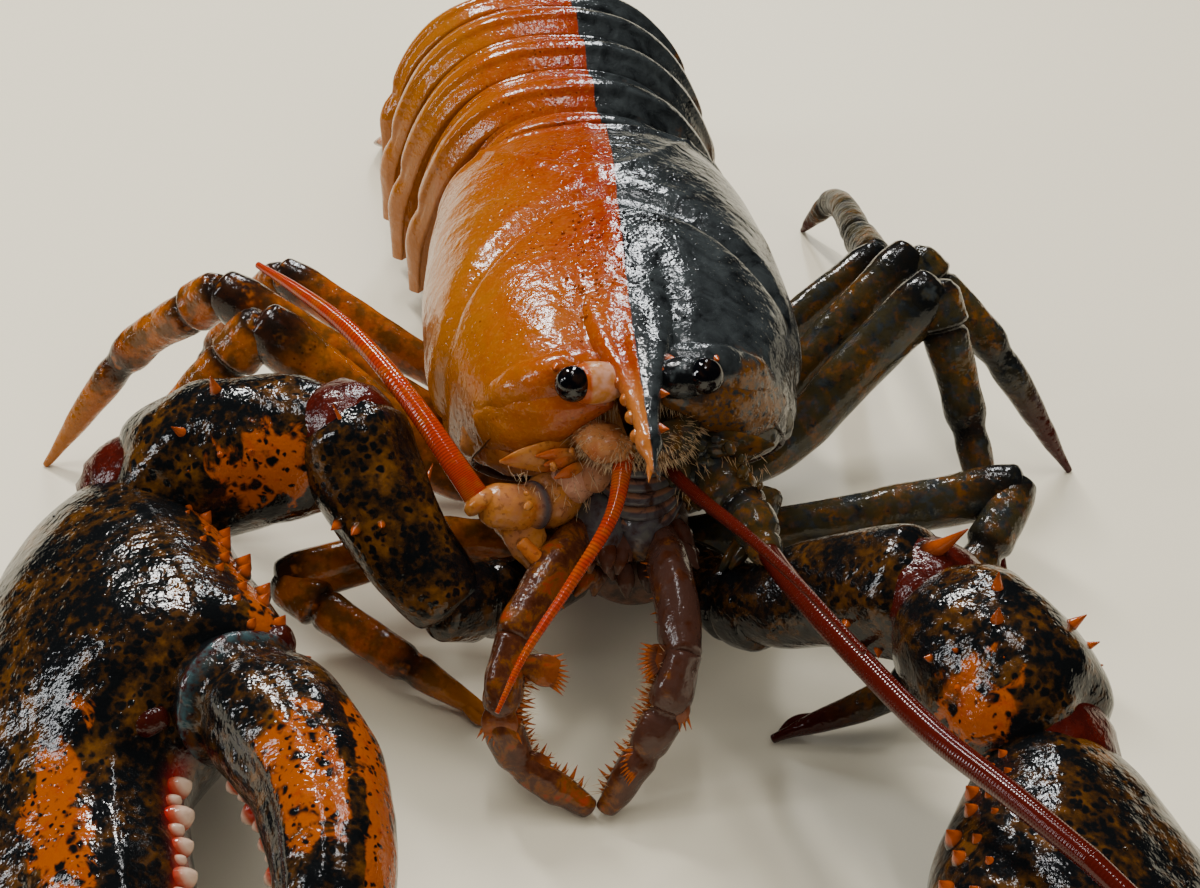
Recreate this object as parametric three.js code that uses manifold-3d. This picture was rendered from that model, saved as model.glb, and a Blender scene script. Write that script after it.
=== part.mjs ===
import * as THREE from "three";
import { mergeVertices } from "three/addons/utils/BufferGeometryUtils.js";
import Module from "manifold-3d";

// An American lobster standing on its claws, legs and tail, split down the midline into an orange
// right side and a black left side. Millimetres, +Z up, the head towards -Y, its right side at -X.

const wasm = await Module();
wasm.setup();

// Driving dimensions.
const GAP = 0.3;
const SPIKE_SIDES = 5;
const SPIKE_SINK = 0.35;
const FACE_Y = 37;
const CARAPACE_REAR = 117;
const GROOVE_TOP_Y = 78;
const GROOVE_DEPTH = 1.6;
const GROOVE_WIDTH = 3.2;
const EYE_RADIUS = 2.9;
const EYE_SIDE = 10.5;
const EYE_Y = 23.2;
const EYE_Z = 62;
const FAN_SIDE = -3.5;
const CRUSHER_TEETH = 9;
const PINCER_TEETH = 15;

const v = (x, y, z) => new THREE.Vector3(x, y, z);
const UP = v(0, 0, 1);
const { clamp, lerp } = THREE.MathUtils;

const SHELL = {
  orange: { color: 0xc4651c, roughness: 0.3 },
  black: { color: 0x23282b, roughness: 0.3 },
  mottled: { color: 0x4a2c17, roughness: 0.28 },
  pale: { color: 0xc99a78, roughness: 0.4 },
  eye: { color: 0x08080a, roughness: 0.08 },
  feeler: { color: 0xb5361c, roughness: 0.35 },
  belly: { color: 0x9c6a4a, roughness: 0.5 },
};

// The lobster's parts: carapace rows are [y, half width, top, bottom].
const CARAPACE = [
  [24, 15, 61, 40],
  [28, 21, 62.5, 35],
  [34, 27, 64, 30],
  [44, 31, 65.5, 26],
  [58, 33, 66.5, 23.5],
  [74, 33.5, 66, 22.5],
  [90, 32.5, 65, 22],
  [104, 30.5, 63.5, 22.5],
  [113, 28.5, 61.5, 23.5],
  [117, 26.5, 60, 25],
];

// The shell's front edge as [height share from the keel up to the beak, y].
const FRONT_EDGE = [[-1, 45], [-0.5, 39], [0, 31.5], [0.4, 27], [0.62, 28], [0.86, 30], [1, 27]];

// The line of the tail's back, which runs level and then bends down to the fan.
const TAIL_BACK = [
  v(0, 117.5, 58.5),
  v(-0.8, 136, 60),
  v(-1.8, 155, 60.5),
  v(-2.6, 172, 60),
  v(-3.2, 187, 58.5),
  v(-3.5, 202, 53.5),
  v(-3.5, 212, 46.5),
  v(-3.5, 218.5, 39),
];

// Tail rings are [front and rear as shares of that line, half width, depth of the side plates].
const TAIL_RINGS = [
  [0, 0.11, 27, 34],
  [0.11, 0.28, 35, 50],
  [0.28, 0.45, 37.4, 51],
  [0.45, 0.62, 38.3, 49],
  [0.62, 0.79, 36.8, 38],
  [0.79, 1, 31, 26],
];

// Walking legs: root, hip, knee, shin and tip, from the front leg back.
const LEGS = {
  right: [
    [v(-12, 42, 15), v(-36, 42, 18), v(-60, 38, 14), v(-42, 24, 8), v(-24, 13, 0.4)],
    [v(-12, 55, 15), v(-32, 60, 21), v(-62, 73, 45), v(-80, 72, 26), v(-97, 68, 0.3)],
    [v(-12, 69, 15), v(-32, 74, 21), v(-70, 88, 43.5), v(-88, 96, 28), v(-110, 97, 0.3)],
    [v(-12, 84, 15), v(-32, 91, 22), v(-60, 106, 36), v(-74, 112, 18), v(-84, 111, 0.3)],
  ],
  left: [
    [v(12, 42, 15), v(29, 36, 20), v(67, 31, 30), v(46, 7, 11), v(21, 4, 1)],
    [v(12, 55, 15), v(32, 61, 21), v(61, 73, 45), v(66, 64, 26), v(71, 42, 0.3)],
    [v(12, 69, 15), v(32, 75, 21), v(61, 91, 41), v(74, 82, 29), v(93, 74, 0.3)],
    [v(12, 84, 15), v(32, 91, 22), v(57, 102, 35), v(61, 158, 17), v(58, 175, 0.3)],
  ],
};

// Claw arms: root, elbow, shoulder of the carpus, wrist; then the hand's own frame.
const ARMS = {
  right: {
    hip: [v(-11, 28, 21), v(-22, 22, 21), v(-33, 17, 25)],
    merus: [v(-32, 16, 25), v(-41, 26, 36), v(-47, 38, 45)],
    carpus: [v(-46, 38, 42), v(-65, 42, 39.5), v(-84, 43, 31.5)],
    carpusScale: 0.95,
    wrist: v(-83, 44, 29),
    along: v(0.06, -0.985, -0.14),
    inward: v(0.86, 0.02, 0.5),
  },
  left: {
    hip: [v(9, 26, 21), v(14, 17, 22), v(19, 9, 25)],
    merus: [v(18, 10, 25), v(30, 2, 34), v(41, -8, 40.5)],
    carpus: [v(41, -10, 39), v(47, -24, 39.5), v(52, -37, 34)],
    carpusScale: 0.94,
    wrist: v(52, -37, 33),
    along: v(-0.14, -0.965, -0.225),
    inward: v(-0.85, 0.05, 0.5),
  },
};

// Spines at the upper end of each arm's second piece: root, tip and root radius.
const MERUS_SPINES = {
  right: [
    [v(-43, 27, 45), v(-48.5, 33, 54), 2.6],
    [v(-36, 28, 38), v(-33, 36, 39), 2.2],
  ],
  left: [
    [v(39.5, -6, 47.5), v(44, -12.5, 56.5), 3.2],
    [v(31, -7, 33.5), v(30, -14, 33.5), 2.2],
  ],
};

// Spines of each carpus: share along it, and the way out to its surface.
const CARPUS_SPINES = {
  right: [
    [0.5, -12.1, 0, 3.4], [0.5, -2.7, -0.3, 12.3], [0.5, 9.2, -8.4, -1.8],
    [0.5, -7.9, -5.5, 8.1], [0.5, 2.6, -10.2, 6.9], [0.5, -10.9, 2.1, 5.9],
  ],
  left: [
    [0.5, -0.3, 2.6, 11.9], [0.5, -1.8, -3.2, 11.6], [0.5, 9.7, -0.6, 7.4],
    [0.5, 11.5, -1.5, 3.9], [0.5, 11.6, -3.4, 2], [0.5, 11.3, -4.6, 0.5],
    [0.5, -9, -4.1, -7.2],
  ],
};

// Hand rows are [distance from the wrist, centre, half width, half thickness]; the finger that
// moves is a path of [distance, sideways] with rows [share, half width, half thickness].
const HANDS = {
  right: {
    palm: [
      [0, -1, 10, 9],
      [8, -4.2, 15.6, 13],
      [20, -5.8, 22.6, 16.5],
      [36, -3.7, 27.3, 18],
      [46, -2.5, 28, 17.5],
      [54, -7, 23, 15.5],
      [62, -11, 18, 13.5],
      [80, -9, 16, 11.5],
      [98, -6, 11, 8.5],
      [112, -2.5, 5.5, 5],
      [121, 1, 2.2, 2.2],
    ],
    finger: [v(50, 14.5, 1), v(62, 24.5, 1), v(78, 31, 0), v(94, 32, 0), v(108, 27, 0), v(117, 19.5, 0)],
    fingerSizes: [[0, 9.5, 9.5], [0.2, 10.5, 10.5], [0.5, 9, 9.5], [0.8, 6, 6.2], [1, 1.8, 1.8]],
    teeth: CRUSHER_TEETH,
    toothSize: 2.6,
  },
  left: {
    palm: [
      [0, 0, 9.5, 8.5],
      [8, -2, 15, 12],
      [20, -3, 22, 15.5],
      [34, -3, 24.5, 16.5],
      [44, -3, 24, 16],
      [52, -7, 16.5, 13],
      [62, -8.5, 14, 11.5],
      [82, -7.5, 11.5, 9.5],
      [102, -4.5, 7.8, 7],
      [117, -1, 4, 4],
      [126, 2, 1.8, 1.8],
    ],
    finger: [v(47, 11, 1), v(60, 15, 1), v(78, 16, 0), v(96, 14, 0), v(112, 10, 0), v(123, 5, 0)],
    fingerSizes: [[0, 8, 8.5], [0.2, 7.6, 8.5], [0.5, 6, 7], [0.8, 4, 4.6], [1, 1.5, 1.5]],
    teeth: PINCER_TEETH,
    toothSize: 1.6,
  },
};

// Feelers, from root to tip.
const ANTENNA = {
  right: [v(-25.5, 21.1, 41), v(-29.5, 25.6, 46), v(-36.1, 36.1, 52), v(-45.7, 53.8, 55), v(-54.5, 67.6, 55), v(-62, 79, 54)],
  left: [v(18.4, 10, 38), v(20.2, -7, 43), v(25.6, -29, 47), v(31.3, -47.5, 50), v(37.5, -61, 52), v(44.3, -73, 52)],
  leftTip: [v(44.3, -73, 52), v(60, -97, 46), v(80, -122, 33), v(99, -146, 17), v(112, -163, 0.3)],
};
const ANTENNULE = {
  right: [v(-2.4, 22, 48.5), v(-5.6, 11, 45), v(-13, 2, 39), v(-21, -8, 34), v(-25.7, -15.3, 29.5)],
  left: [v(3, 24, 46.5), v(5.5, 20, 45.5), v(8.5, 12, 46.5), v(13, -3.5, 51), v(17.6, -22, 56), v(21.7, -43, 61.5)],
};
const MAXILLIPED = {
  right: [v(-4.5, 34, 28), v(-13, 18, 31), v(-22, 4.5, 27), v(-24.2, -1, 19), v(-22.8, -4, 9.5), v(-13, -9.6, 1.6)],
  left: [v(4, 34, 27), v(4.5, 14, 29.5), v(4.6, 0, 25), v(2, -4, 19), v(-1.5, -6.5, 12), v(-7.4, -10, 1.5)],
};

// Reads rows [key, a, b, ...] at a key, on a smooth curve through them.
function along(rows, key) {
  const last = rows.length - 1;
  let i = 0;
  while (i < last - 1 && key > rows[i + 1][0]) i++;
  const p = rows[i];
  const q = rows[i + 1];
  const before = rows[Math.max(i - 1, 0)];
  const after = rows[Math.min(i + 2, last)];
  const span = q[0] - p[0];
  const f = clamp((key - p[0]) / span, 0, 1);
  return p.slice(1).map((value, k) => {
    const next = q[k + 1];
    const slopeIn = ((next - before[k + 1]) / (q[0] - before[0])) * span;
    const slopeOut = ((after[k + 1] - value) / (after[0] - p[0])) * span;
    const f2 = f * f;
    const f3 = f2 * f;
    return (
      value * (2 * f3 - 3 * f2 + 1) +
      next * (3 * f2 - 2 * f3) +
      slopeIn * (f3 - 2 * f2 + f) +
      slopeOut * (f3 - f2)
    );
  });
}

// A closed geometry as a solid, with its faces pointing out.
function solidOf(geometry) {
  const loose = geometry.index ? geometry.toNonIndexed() : geometry;
  const bare = new THREE.BufferGeometry().setAttribute("position", loose.getAttribute("position"));
  const merged = mergeVertices(bare, 1e-4);
  const triVerts = new Uint32Array(merged.index.array);
  const make = () =>
    new wasm.Manifold(
      new wasm.Mesh({ numProp: 3, vertProperties: merged.attributes.position.array, triVerts }),
    );
  const made = make();
  if (made.volume() > 0) return made;
  for (let i = 0; i < triVerts.length; i += 3) {
    [triVerts[i + 1], triVerts[i + 2]] = [triVerts[i + 2], triVerts[i + 1]];
  }
  return make();
}

const largest = (solid) =>
  solid.decompose().reduce((a, b) => (b.volume() > a.volume() ? b : a));

const join = (...pieces) => largest(pieces.flat().reduce((a, b) => a.add(b)));

const clearOf = (solid, ...others) => largest(others.flat().reduce((a, b) => a.subtract(b), solid));

// A sphere whose rings and sides are moved to place(share along, angle round).
function skin(sides, rings, place) {
  const sphere = new THREE.SphereGeometry(1, sides, rings);
  const { position, uv } = sphere.attributes;
  for (let i = 0; i < position.count; i++) {
    const ring = Math.round((1 - uv.getY(i)) * rings);
    const side = Math.round(uv.getX(i) * sides) % sides;
    const p = place(ring, (2 * Math.PI * side) / sides);
    position.setXYZ(i, p.x, p.y, p.z);
  }
  return solidOf(sphere);
}

// A tapering limb along a smooth path, oval in section, with blunt ends.
function tube(points, sizes, { sides = 8, rings = 9, up = UP, grow = 0, blunt = 0.8, bulge = 0.35 } = {}) {
  const curve = new THREE.CatmullRomCurve3(points, false, "centripetal");
  return skin(sides, rings, (ring, angle) => {
    const t = clamp((ring - 1) / (rings - 2), 0, 1);
    const [w, h] = along(sizes, t);
    const c = curve.getPoint(t);
    const tangent = curve.getTangent(t);
    const side = tangent.clone().cross(up).normalize();
    const top = side.clone().cross(tangent);
    const end = ring <= 1 ? -1 : ring >= rings - 1 ? 1 : 0;
    const pole = ring === 0 || ring === rings;
    if (pole) return c.addScaledVector(tangent, end * (bulge * h + grow));
    const share = end ? blunt : 1;
    c.addScaledVector(side, Math.cos(angle) * (w * share + grow));
    c.addScaledVector(top, Math.sin(angle) * (h * share + grow));
    return c.addScaledVector(tangent, end * grow);
  });
}

// A spine: a cone with its root sunk in what it grows from.
function spike(at, direction, radius, length) {
  const cone = new THREE.ConeGeometry(radius, length, SPIKE_SIDES);
  const aim = direction.clone().normalize();
  cone.applyQuaternion(new THREE.Quaternion().setFromUnitVectors(v(0, 1, 0), aim));
  const centre = at.clone().addScaledVector(aim, length * (0.5 - SPIKE_SINK));
  cone.translate(centre.x, centre.y, centre.z);
  return solidOf(cone);
}

function ball(at, radius, scale = v(1, 1, 1), sides = 12, rings = 8) {
  const sphere = new THREE.SphereGeometry(radius, sides, rings);
  sphere.scale(scale.x, scale.y, scale.z);
  sphere.translate(at.x, at.y, at.z);
  return solidOf(sphere);
}

const lobster = new THREE.Group();
const floorBox = new THREE.BoxGeometry(800, 800, 100);
floorBox.translate(0, 0, -50);
const FLOOR = solidOf(floorBox);

// Adds one part, with a small flat wherever it would pass the floor.
function node(name, solid, finish) {
  const mesh = largest(solid.subtract(FLOOR)).getMesh();
  const geometry = new THREE.BufferGeometry();
  const corners = new Float32Array(mesh.numVert * 3);
  for (let i = 0; i < mesh.numVert; i++) {
    corners.set(mesh.vertProperties.subarray(i * mesh.numProp, i * mesh.numProp + 3), i * 3);
  }
  geometry.setAttribute("position", new THREE.BufferAttribute(corners, 3));
  geometry.setIndex(new THREE.BufferAttribute(mesh.triVerts, 1));
  geometry.computeVertexNormals();
  const material = new THREE.MeshStandardMaterial({ ...SHELL[finish], metalness: 0 });
  const made = new THREE.Mesh(geometry, material);
  made.name = name;
  lobster.add(made);
}

// Point on the carapace at a station and an angle from its right side (0) over the top (90).
function carapacePoint(y, angle, grow) {
  const [width, top, bottom] = along(CARAPACE, y);
  const middle = lerp(bottom, top, 0.42);
  const lift = Math.sin(angle);
  const reach = Math.cos(angle);
  const height = lift > 0 ? top - middle : middle - bottom;
  const grooveY = GROOVE_TOP_Y - 30 * Math.abs(reach) ** 1.6;
  const near = Math.exp(-(((y - grooveY) / GROOVE_WIDTH) ** 2));
  const dip = lift > -0.35 ? GROOVE_DEPTH * near : 0;
  const round = (share) => Math.sign(share) * Math.abs(share) ** 0.88;
  return v(
    round(reach) * (width - dip + grow),
    y,
    middle + round(lift) * (height - dip + grow),
  );
}

// The shell's front edge steps back over each eye and slants back below the cheek, and the face
// sits in a hollow behind it.
function carapaceBody(grow = 0) {
  const rings = 20;
  const hollow = [null, [0.55, 7], [0.93, 1]];
  return skin(24, rings, (ring, angle) => {
    if (ring === 0) return v(0, FACE_Y - grow, 44);
    if (ring === rings) return v(0, CARAPACE_REAR + 0.2 + grow, 44);
    const [edge] = along(FRONT_EDGE, Math.sin(angle));
    if (ring < 3) {
      const [share, back] = hollow[ring];
      const rim = carapacePoint(edge, angle, 0);
      return v(0, edge, 44).lerp(rim, share).add(v(0, back - grow, 0));
    }
    const y = lerp(edge - grow, CARAPACE_REAR + grow, (ring - 3) / (rings - 4));
    return carapacePoint(y, angle, grow);
  });
}

function rostrum(grow = 0) {
  const path = [v(0, 46, 62.5), v(0, 32, 62), v(0, 18, 60.5), v(0, 5, 57.6)];
  const sizes = [[0, 9, 3.5], [0.35, 7.2, 3.4], [0.62, 3.6, 2.8], [0.85, 2.4, 2], [1, 0.9, 0.9]];
  return tube(path, sizes, { sides: 10, rings: 10, grow });
}

function carapace() {
  const pieces = [carapaceBody(), rostrum()];
  for (const side of [-1, 1]) {
    // Teeth along the beak, and the spines behind each eye and below it.
    for (const [y, out, z] of [[12, 2.1, 59.2], [17, 2.7, 60.4], [22.5, 3.4, 61.6]]) {
      pieces.push(spike(v(side * out, y, z), v(side * 0.9, -1.2, 0.25), 1.3, 5));
    }
    pieces.push(spike(v(side * 12.5, 29, 61.5), v(side * 0.25, -1, 0.5), 1.6, 6));
    pieces.push(spike(v(side * 20.5, 28.5, 51), v(side * 0.3, -1, 0.1), 1.8, 6.5));
    pieces.push(spike(v(side * 10, 41, 65), v(side * 0.2, -0.8, 0.8), 1.3, 4));
  }
  return join(pieces);
}

// The chest plate between the legs, which carries every leg root.
const sternum = (grow = 0) =>
  tube(
    [v(0, 24, 21), v(0, 50, 16.5), v(0, 85, 15), v(0, 114, 17)],
    [[0, 7, 5], [0.2, 11.5, 7], [0.7, 11.5, 7], [1, 9, 5.5]],
    { sides: 12, rings: 9, grow },
  );

// Half section of a tail ring at height share h: the outer arch, then the hollow underside.
function tailOutline() {
  const shape = new THREE.Shape();
  const steps = 12;
  for (let i = 0; i <= steps; i++) {
    const a = (Math.PI * i) / steps;
    const x = Math.sign(Math.cos(a)) * Math.abs(Math.cos(a)) ** 0.8;
    const z = Math.sin(a) ** 0.9;
    if (i === 0) shape.moveTo(x, z);
    else shape.lineTo(x, z);
  }
  for (let i = 1; i < 8; i++) {
    const a = Math.PI * (1 - i / 8);
    shape.lineTo(Math.cos(a) * 0.9, 0.05 + 0.26 * Math.sin(a) ** 1.4);
  }
  return shape;
}

// A point of the tail at a share of its back line, sideways x and depth below the back.
const tailCurve = new THREE.CatmullRomCurve3(TAIL_BACK, false, "centripetal");
function tailPoint(share, x, depth) {
  const tangent = tailCurve.getTangentAt(share);
  const down = v(0, tangent.z, -tangent.y);
  return tailCurve.getPointAt(share).addScaledVector(down, depth).add(v(x, 0, 0));
}

function tailRing(index) {
  const [front, rear, width, deep] = TAIL_RINGS[index];
  const ring = new THREE.ExtrudeGeometry(tailOutline(), { depth: 1, steps: 4, bevelEnabled: false });
  const { position } = ring.attributes;
  const gap = GAP / 2 / tailCurve.getLength();
  for (let i = 0; i < position.count; i++) {
    const h = position.getY(i);
    const s = position.getZ(i);
    // The side plates narrow to points that lean back, and the ring swells behind its front edge.
    const narrow = 0.62 * Math.max(1 - h, 0) ** 1.8;
    const swell = 0.94 + 0.06 * Math.sin(Math.PI * Math.min(s * 1.3, 1));
    const share = lerp(front + gap, rear - gap, lerp(s, 0.6, narrow));
    const p = tailPoint(share, position.getX(i) * width * swell, deep * (1 - h * swell));
    position.setXYZ(i, p.x, p.y, p.z);
  }
  return solidOf(ring);
}

// A swimmeret: a short stalk and a flat blade that lies back under the tail.
function swimmeret(side, share, depth) {
  const at = (along, x, down) => tailPoint(share + along, side * x, depth + down);
  const stalk = tube([at(0, 15, -6), at(0.01, 17, 3)], [[0, 2, 2], [1, 2, 1.6]], { sides: 5, rings: 4 });
  const blade = tube(
    [at(0.005, 17, 1.5), at(0.04, 18, 5), at(0.075, 18.5, 6)],
    [[0, 2, 1], [0.5, 4.5, 0.8], [1, 1.6, 0.5]],
    { sides: 6, rings: 5 },
  );
  return [stalk, blade];
}

function tail() {
  TAIL_RINGS.forEach(([front, , , deep], index) => {
    const pieces = [tailRing(index)];
    if (index > 0 && index < 5) {
      for (const side of [-1, 1]) pieces.push(...swimmeret(side, front + 0.04, deep * 0.72));
    }
    node(`tail_ring_${index + 1}`, join(pieces), "orange");
  });
}

const telson = (grow = 0) =>
  tube(
    [v(FAN_SIDE, 213, 31.5), v(FAN_SIDE, 221, 21), v(FAN_SIDE, 230, 11), v(FAN_SIDE, 239, 1.4)],
    [[0, 10, 5], [0.4, 12, 3.6], [0.8, 10, 2.4], [1, 7, 1.4]],
    { sides: 12, rings: 8, grow },
  );

function tailFan(side, grow = 0) {
  const at = (x, y, z) => v(FAN_SIDE + side * x, y, z);
  const inner = tube(
    [at(13, 209, 28), at(18, 217, 18), at(22, 226, 9), at(24, 236, 0.7)],
    [[0, 3.5, 2.8], [0.35, 7.5, 2.2], [0.75, 9.5, 1.6], [1, 6, 1]],
    { sides: 10, rings: 8, grow },
  );
  const outer = tube(
    [at(19, 204, 26), at(26, 211, 16), at(31, 219, 8), at(33, 230, 0.6)],
    [[0, 3, 2.6], [0.35, 5.5, 2.4], [0.75, 8, 1.8], [1, 5, 1]],
    { sides: 10, rings: 8, grow },
  );
  return { inner, outer };
}

function eyes() {
  for (const [name, side] of [["right", -1], ["left", 1]]) {
    const centre = v(side * EYE_SIDE, EYE_Y, EYE_Z);
    const back = v(side * 4.8, EYE_Y + 4.4, EYE_Z - 3.4);
    const stalk = (grow) =>
      tube([back, centre.clone().lerp(back, 0.2)], [[0, 2.4, 2.4], [1, 2.9, 2.9]], { sides: 10, rings: 6, grow });
    const eye = ball(centre, EYE_RADIUS, v(1, 1, 1), 16, 10);
    const shell = [carapaceBody(GAP), rostrum(GAP)];
    node(`eyestalk_${name}`, clearOf(stalk(0), shell), "pale");
    node(`eye_${name}`, clearOf(eye, [...shell, stalk(GAP)]), "eye");
  }
}

// Leg sizes along the thigh and along the shin with its foot.
const THIGH = [[0, 3.6, 4], [0.3, 3.8, 4.6], [0.8, 4, 5], [1, 4.2, 4.6]];
const SHIN = [[0, 3.8, 4], [0.15, 4, 4.3], [0.45, 3.3, 3.6], [0.75, 3.2, 3.4], [0.88, 2.4, 2.6], [1, 0.9, 0.9]];

function leg(side, index, [root, hip, knee, shin, tip], body) {
  const scale = [0.95, 1.1, 1.05, 0.85][index];
  const sized = (rows) => rows.map(([t, w, h]) => [t, w * scale, h * scale]);
  const thigh = (grow) =>
    tube([root, hip, hip.clone().lerp(knee, 0.5), knee], sized(THIGH), { sides: 7, rings: 7, grow });
  const foot = tube(
    [knee.clone().lerp(shin, -0.02), knee.clone().lerp(shin, 0.35), shin, tip],
    sized(SHIN),
    { sides: 7, rings: 9, blunt: 0.9 },
  );
  const name = `leg_${side}_${index + 1}`;
  node(`${name}_upper`, clearOf(thigh(0), body), "mottled");
  node(`${name}_lower`, clearOf(foot, thigh(GAP)), "mottled");
}

// Places a hand's own coordinates (along, inward, thickness) in the world.
function handFrame({ wrist, along: axis, inward }) {
  const l = axis.clone().normalize();
  const w = inward.clone().addScaledVector(l, -inward.dot(l)).normalize();
  const t = l.clone().cross(w).normalize();
  if (t.z < 0) t.negate();
  return (a, b, c) => wrist.clone().addScaledVector(l, a).addScaledVector(w, b).addScaledVector(t, c);
}

function palmSolid(place, rows, grow = 0) {
  const rings = 14;
  const length = rows.at(-1)[0];
  return skin(14, rings, (ring, angle) => {
    const t = clamp((ring - 1) / (rings - 2), 0, 1);
    const distance = length * t;
    const [centre, width, thick] = along(rows, distance);
    if (ring === 0) return place(-1.5 - grow, centre, 0);
    if (ring === rings) return place(length + 1 + grow, centre, 0);
    const reach = Math.cos(angle);
    const lift = Math.sin(angle);
    const share = ring === 1 ? 0.85 : 1;
    return place(
      distance,
      centre + Math.sign(reach) * Math.abs(reach) ** 0.9 * (width * share + grow),
      Math.sign(lift) * Math.abs(lift) ** 0.95 * (thick * share + grow),
    );
  });
}

function hand(side) {
  const arm = ARMS[side];
  const { palm, finger, fingerSizes, teeth, toothSize } = HANDS[side];
  const place = handFrame(arm);
  const at = (p) => place(p.x, p.y, p.z);
  const normal = place(0, 0, 1).sub(place(0, 0, 0));
  const inner = place(0, 1, 0).sub(place(0, 0, 0));
  const fingerBody = (grow) =>
    tube(finger.map(at), fingerSizes, { sides: 12, rings: 12, up: normal, grow, bulge: 0.2 });
  const palmPieces = [palmSolid(place, palm)];
  const fingerPieces = [fingerBody(0)];
  // Knobs along the inner edge of the palm, in two uneven rows.
  for (let i = 0; i < 8; i++) {
    const distance = 6 + i * 5.6;
    const [centre, width, thick] = along(palm, distance);
    const raise = i % 2 ? -0.15 : 0.15;
    const root = place(distance, centre + width * Math.cos(raise) * 0.98, thick * Math.sin(raise));
    palmPieces.push(spike(root, inner.clone().addScaledVector(normal, 0.35), 2.1, 6.4));
  }
  // Teeth on both fingers, facing each other across the gape.
  const curve = new THREE.CatmullRomCurve3(finger.map(at), false, "centripetal");
  for (let i = 0; i < teeth; i++) {
    const share = (i + 0.5) / teeth;
    const size = toothSize * lerp(1, 0.55, share) * (i % 3 === 1 ? 1.2 : 1);
    const distance = lerp(64, palm.at(-1)[0] - 9, share);
    const [centre, width] = along(palm, distance);
    palmPieces.push(spike(place(distance, centre + width * 0.97, 0), inner, size, size * 2.4));
    const t = lerp(0.3, 0.95, share);
    const [half] = along(fingerSizes, t);
    const root = curve.getPoint(t).addScaledVector(inner, -half * 0.95);
    fingerPieces.push(spike(root, inner.clone().negate(), size, size * 2.4));
  }
  const palmWhole = join(palmPieces);
  const socket = fingerBody(GAP);
  return {
    palm: clearOf(palmWhole, socket),
    finger: join(fingerPieces),
    palmGrown: palmSolid(place, palm, GAP),
  };
}

function arm(side, body) {
  const { hip, merus, carpus, carpusScale } = ARMS[side];
  const hipBody = (grow) => tube(hip, [[0, 5.5, 5.5], [0.5, 6.5, 6.5], [1, 6.8, 7]], { sides: 10, rings: 7, grow });
  const merusBody = (grow) =>
    tube(merus, [[0, 6.5, 7], [0.4, 8, 9], [0.8, 9.5, 10.5], [1, 9, 10]], { sides: 12, rings: 8, grow });
  const sizes = [[0, 9.5, 9.5], [0.3, 13, 13], [0.7, 14, 13.5], [1, 11.5, 11]];
  const scaled = sizes.map(([t, w, h]) => [t, w * carpusScale, h * carpusScale]);
  const carpusBody = (grow) => tube(carpus, scaled, { sides: 14, rings: 9, grow });
  const spikes = MERUS_SPINES[side].map(([root, tip, radius]) => {
    const reach = tip.clone().sub(root);
    return spike(root, reach, radius, reach.length() / (1 - SPIKE_SINK));
  });
  const carpusSpikes = [];
  const curve = new THREE.CatmullRomCurve3(carpus, false, "centripetal");
  for (const [t, x, y, z] of CARPUS_SPINES[side]) {
    const reach = v(x, y, z);
    carpusSpikes.push(spike(curve.getPoint(t).addScaledVector(reach, 0.95), reach, 1.8, 6));
  }
  const { palm, finger, palmGrown } = hand(side);
  node(`claw_${side}_hip`, clearOf(hipBody(0), body), "mottled");
  node(`claw_${side}_merus`, clearOf(join(merusBody(0), spikes), [hipBody(GAP), ...body]), "mottled");
  node(`claw_${side}_carpus`, clearOf(join(carpusBody(0), carpusSpikes), merusBody(GAP)), "mottled");
  node(`claw_${side}_palm`, clearOf(palm, carpusBody(GAP)), "mottled");
  node(`claw_${side}_finger`, finger, "mottled");
}

// The fat root of each long feeler.
const STEMS = {
  right: [v(-11, 39, 41), v(-13.5, 27, 37.5), v(-19, 22.5, 39), v(-25, 21.6, 40.6)],
  left: [v(11, 39, 42), v(14.3, 23, 40.5), v(17.3, 15.5, 39.5), v(18.3, 10.8, 38.4)],
};
const STEM_SIZES = [[0, 4.6, 4.6], [0.35, 4.8, 4.8], [0.7, 3.8, 3.8], [1, 3.1, 3.1]];
const stemOf = (name, grow) => tube(STEMS[name], STEM_SIZES, { sides: 10, rings: 8, grow });

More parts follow.
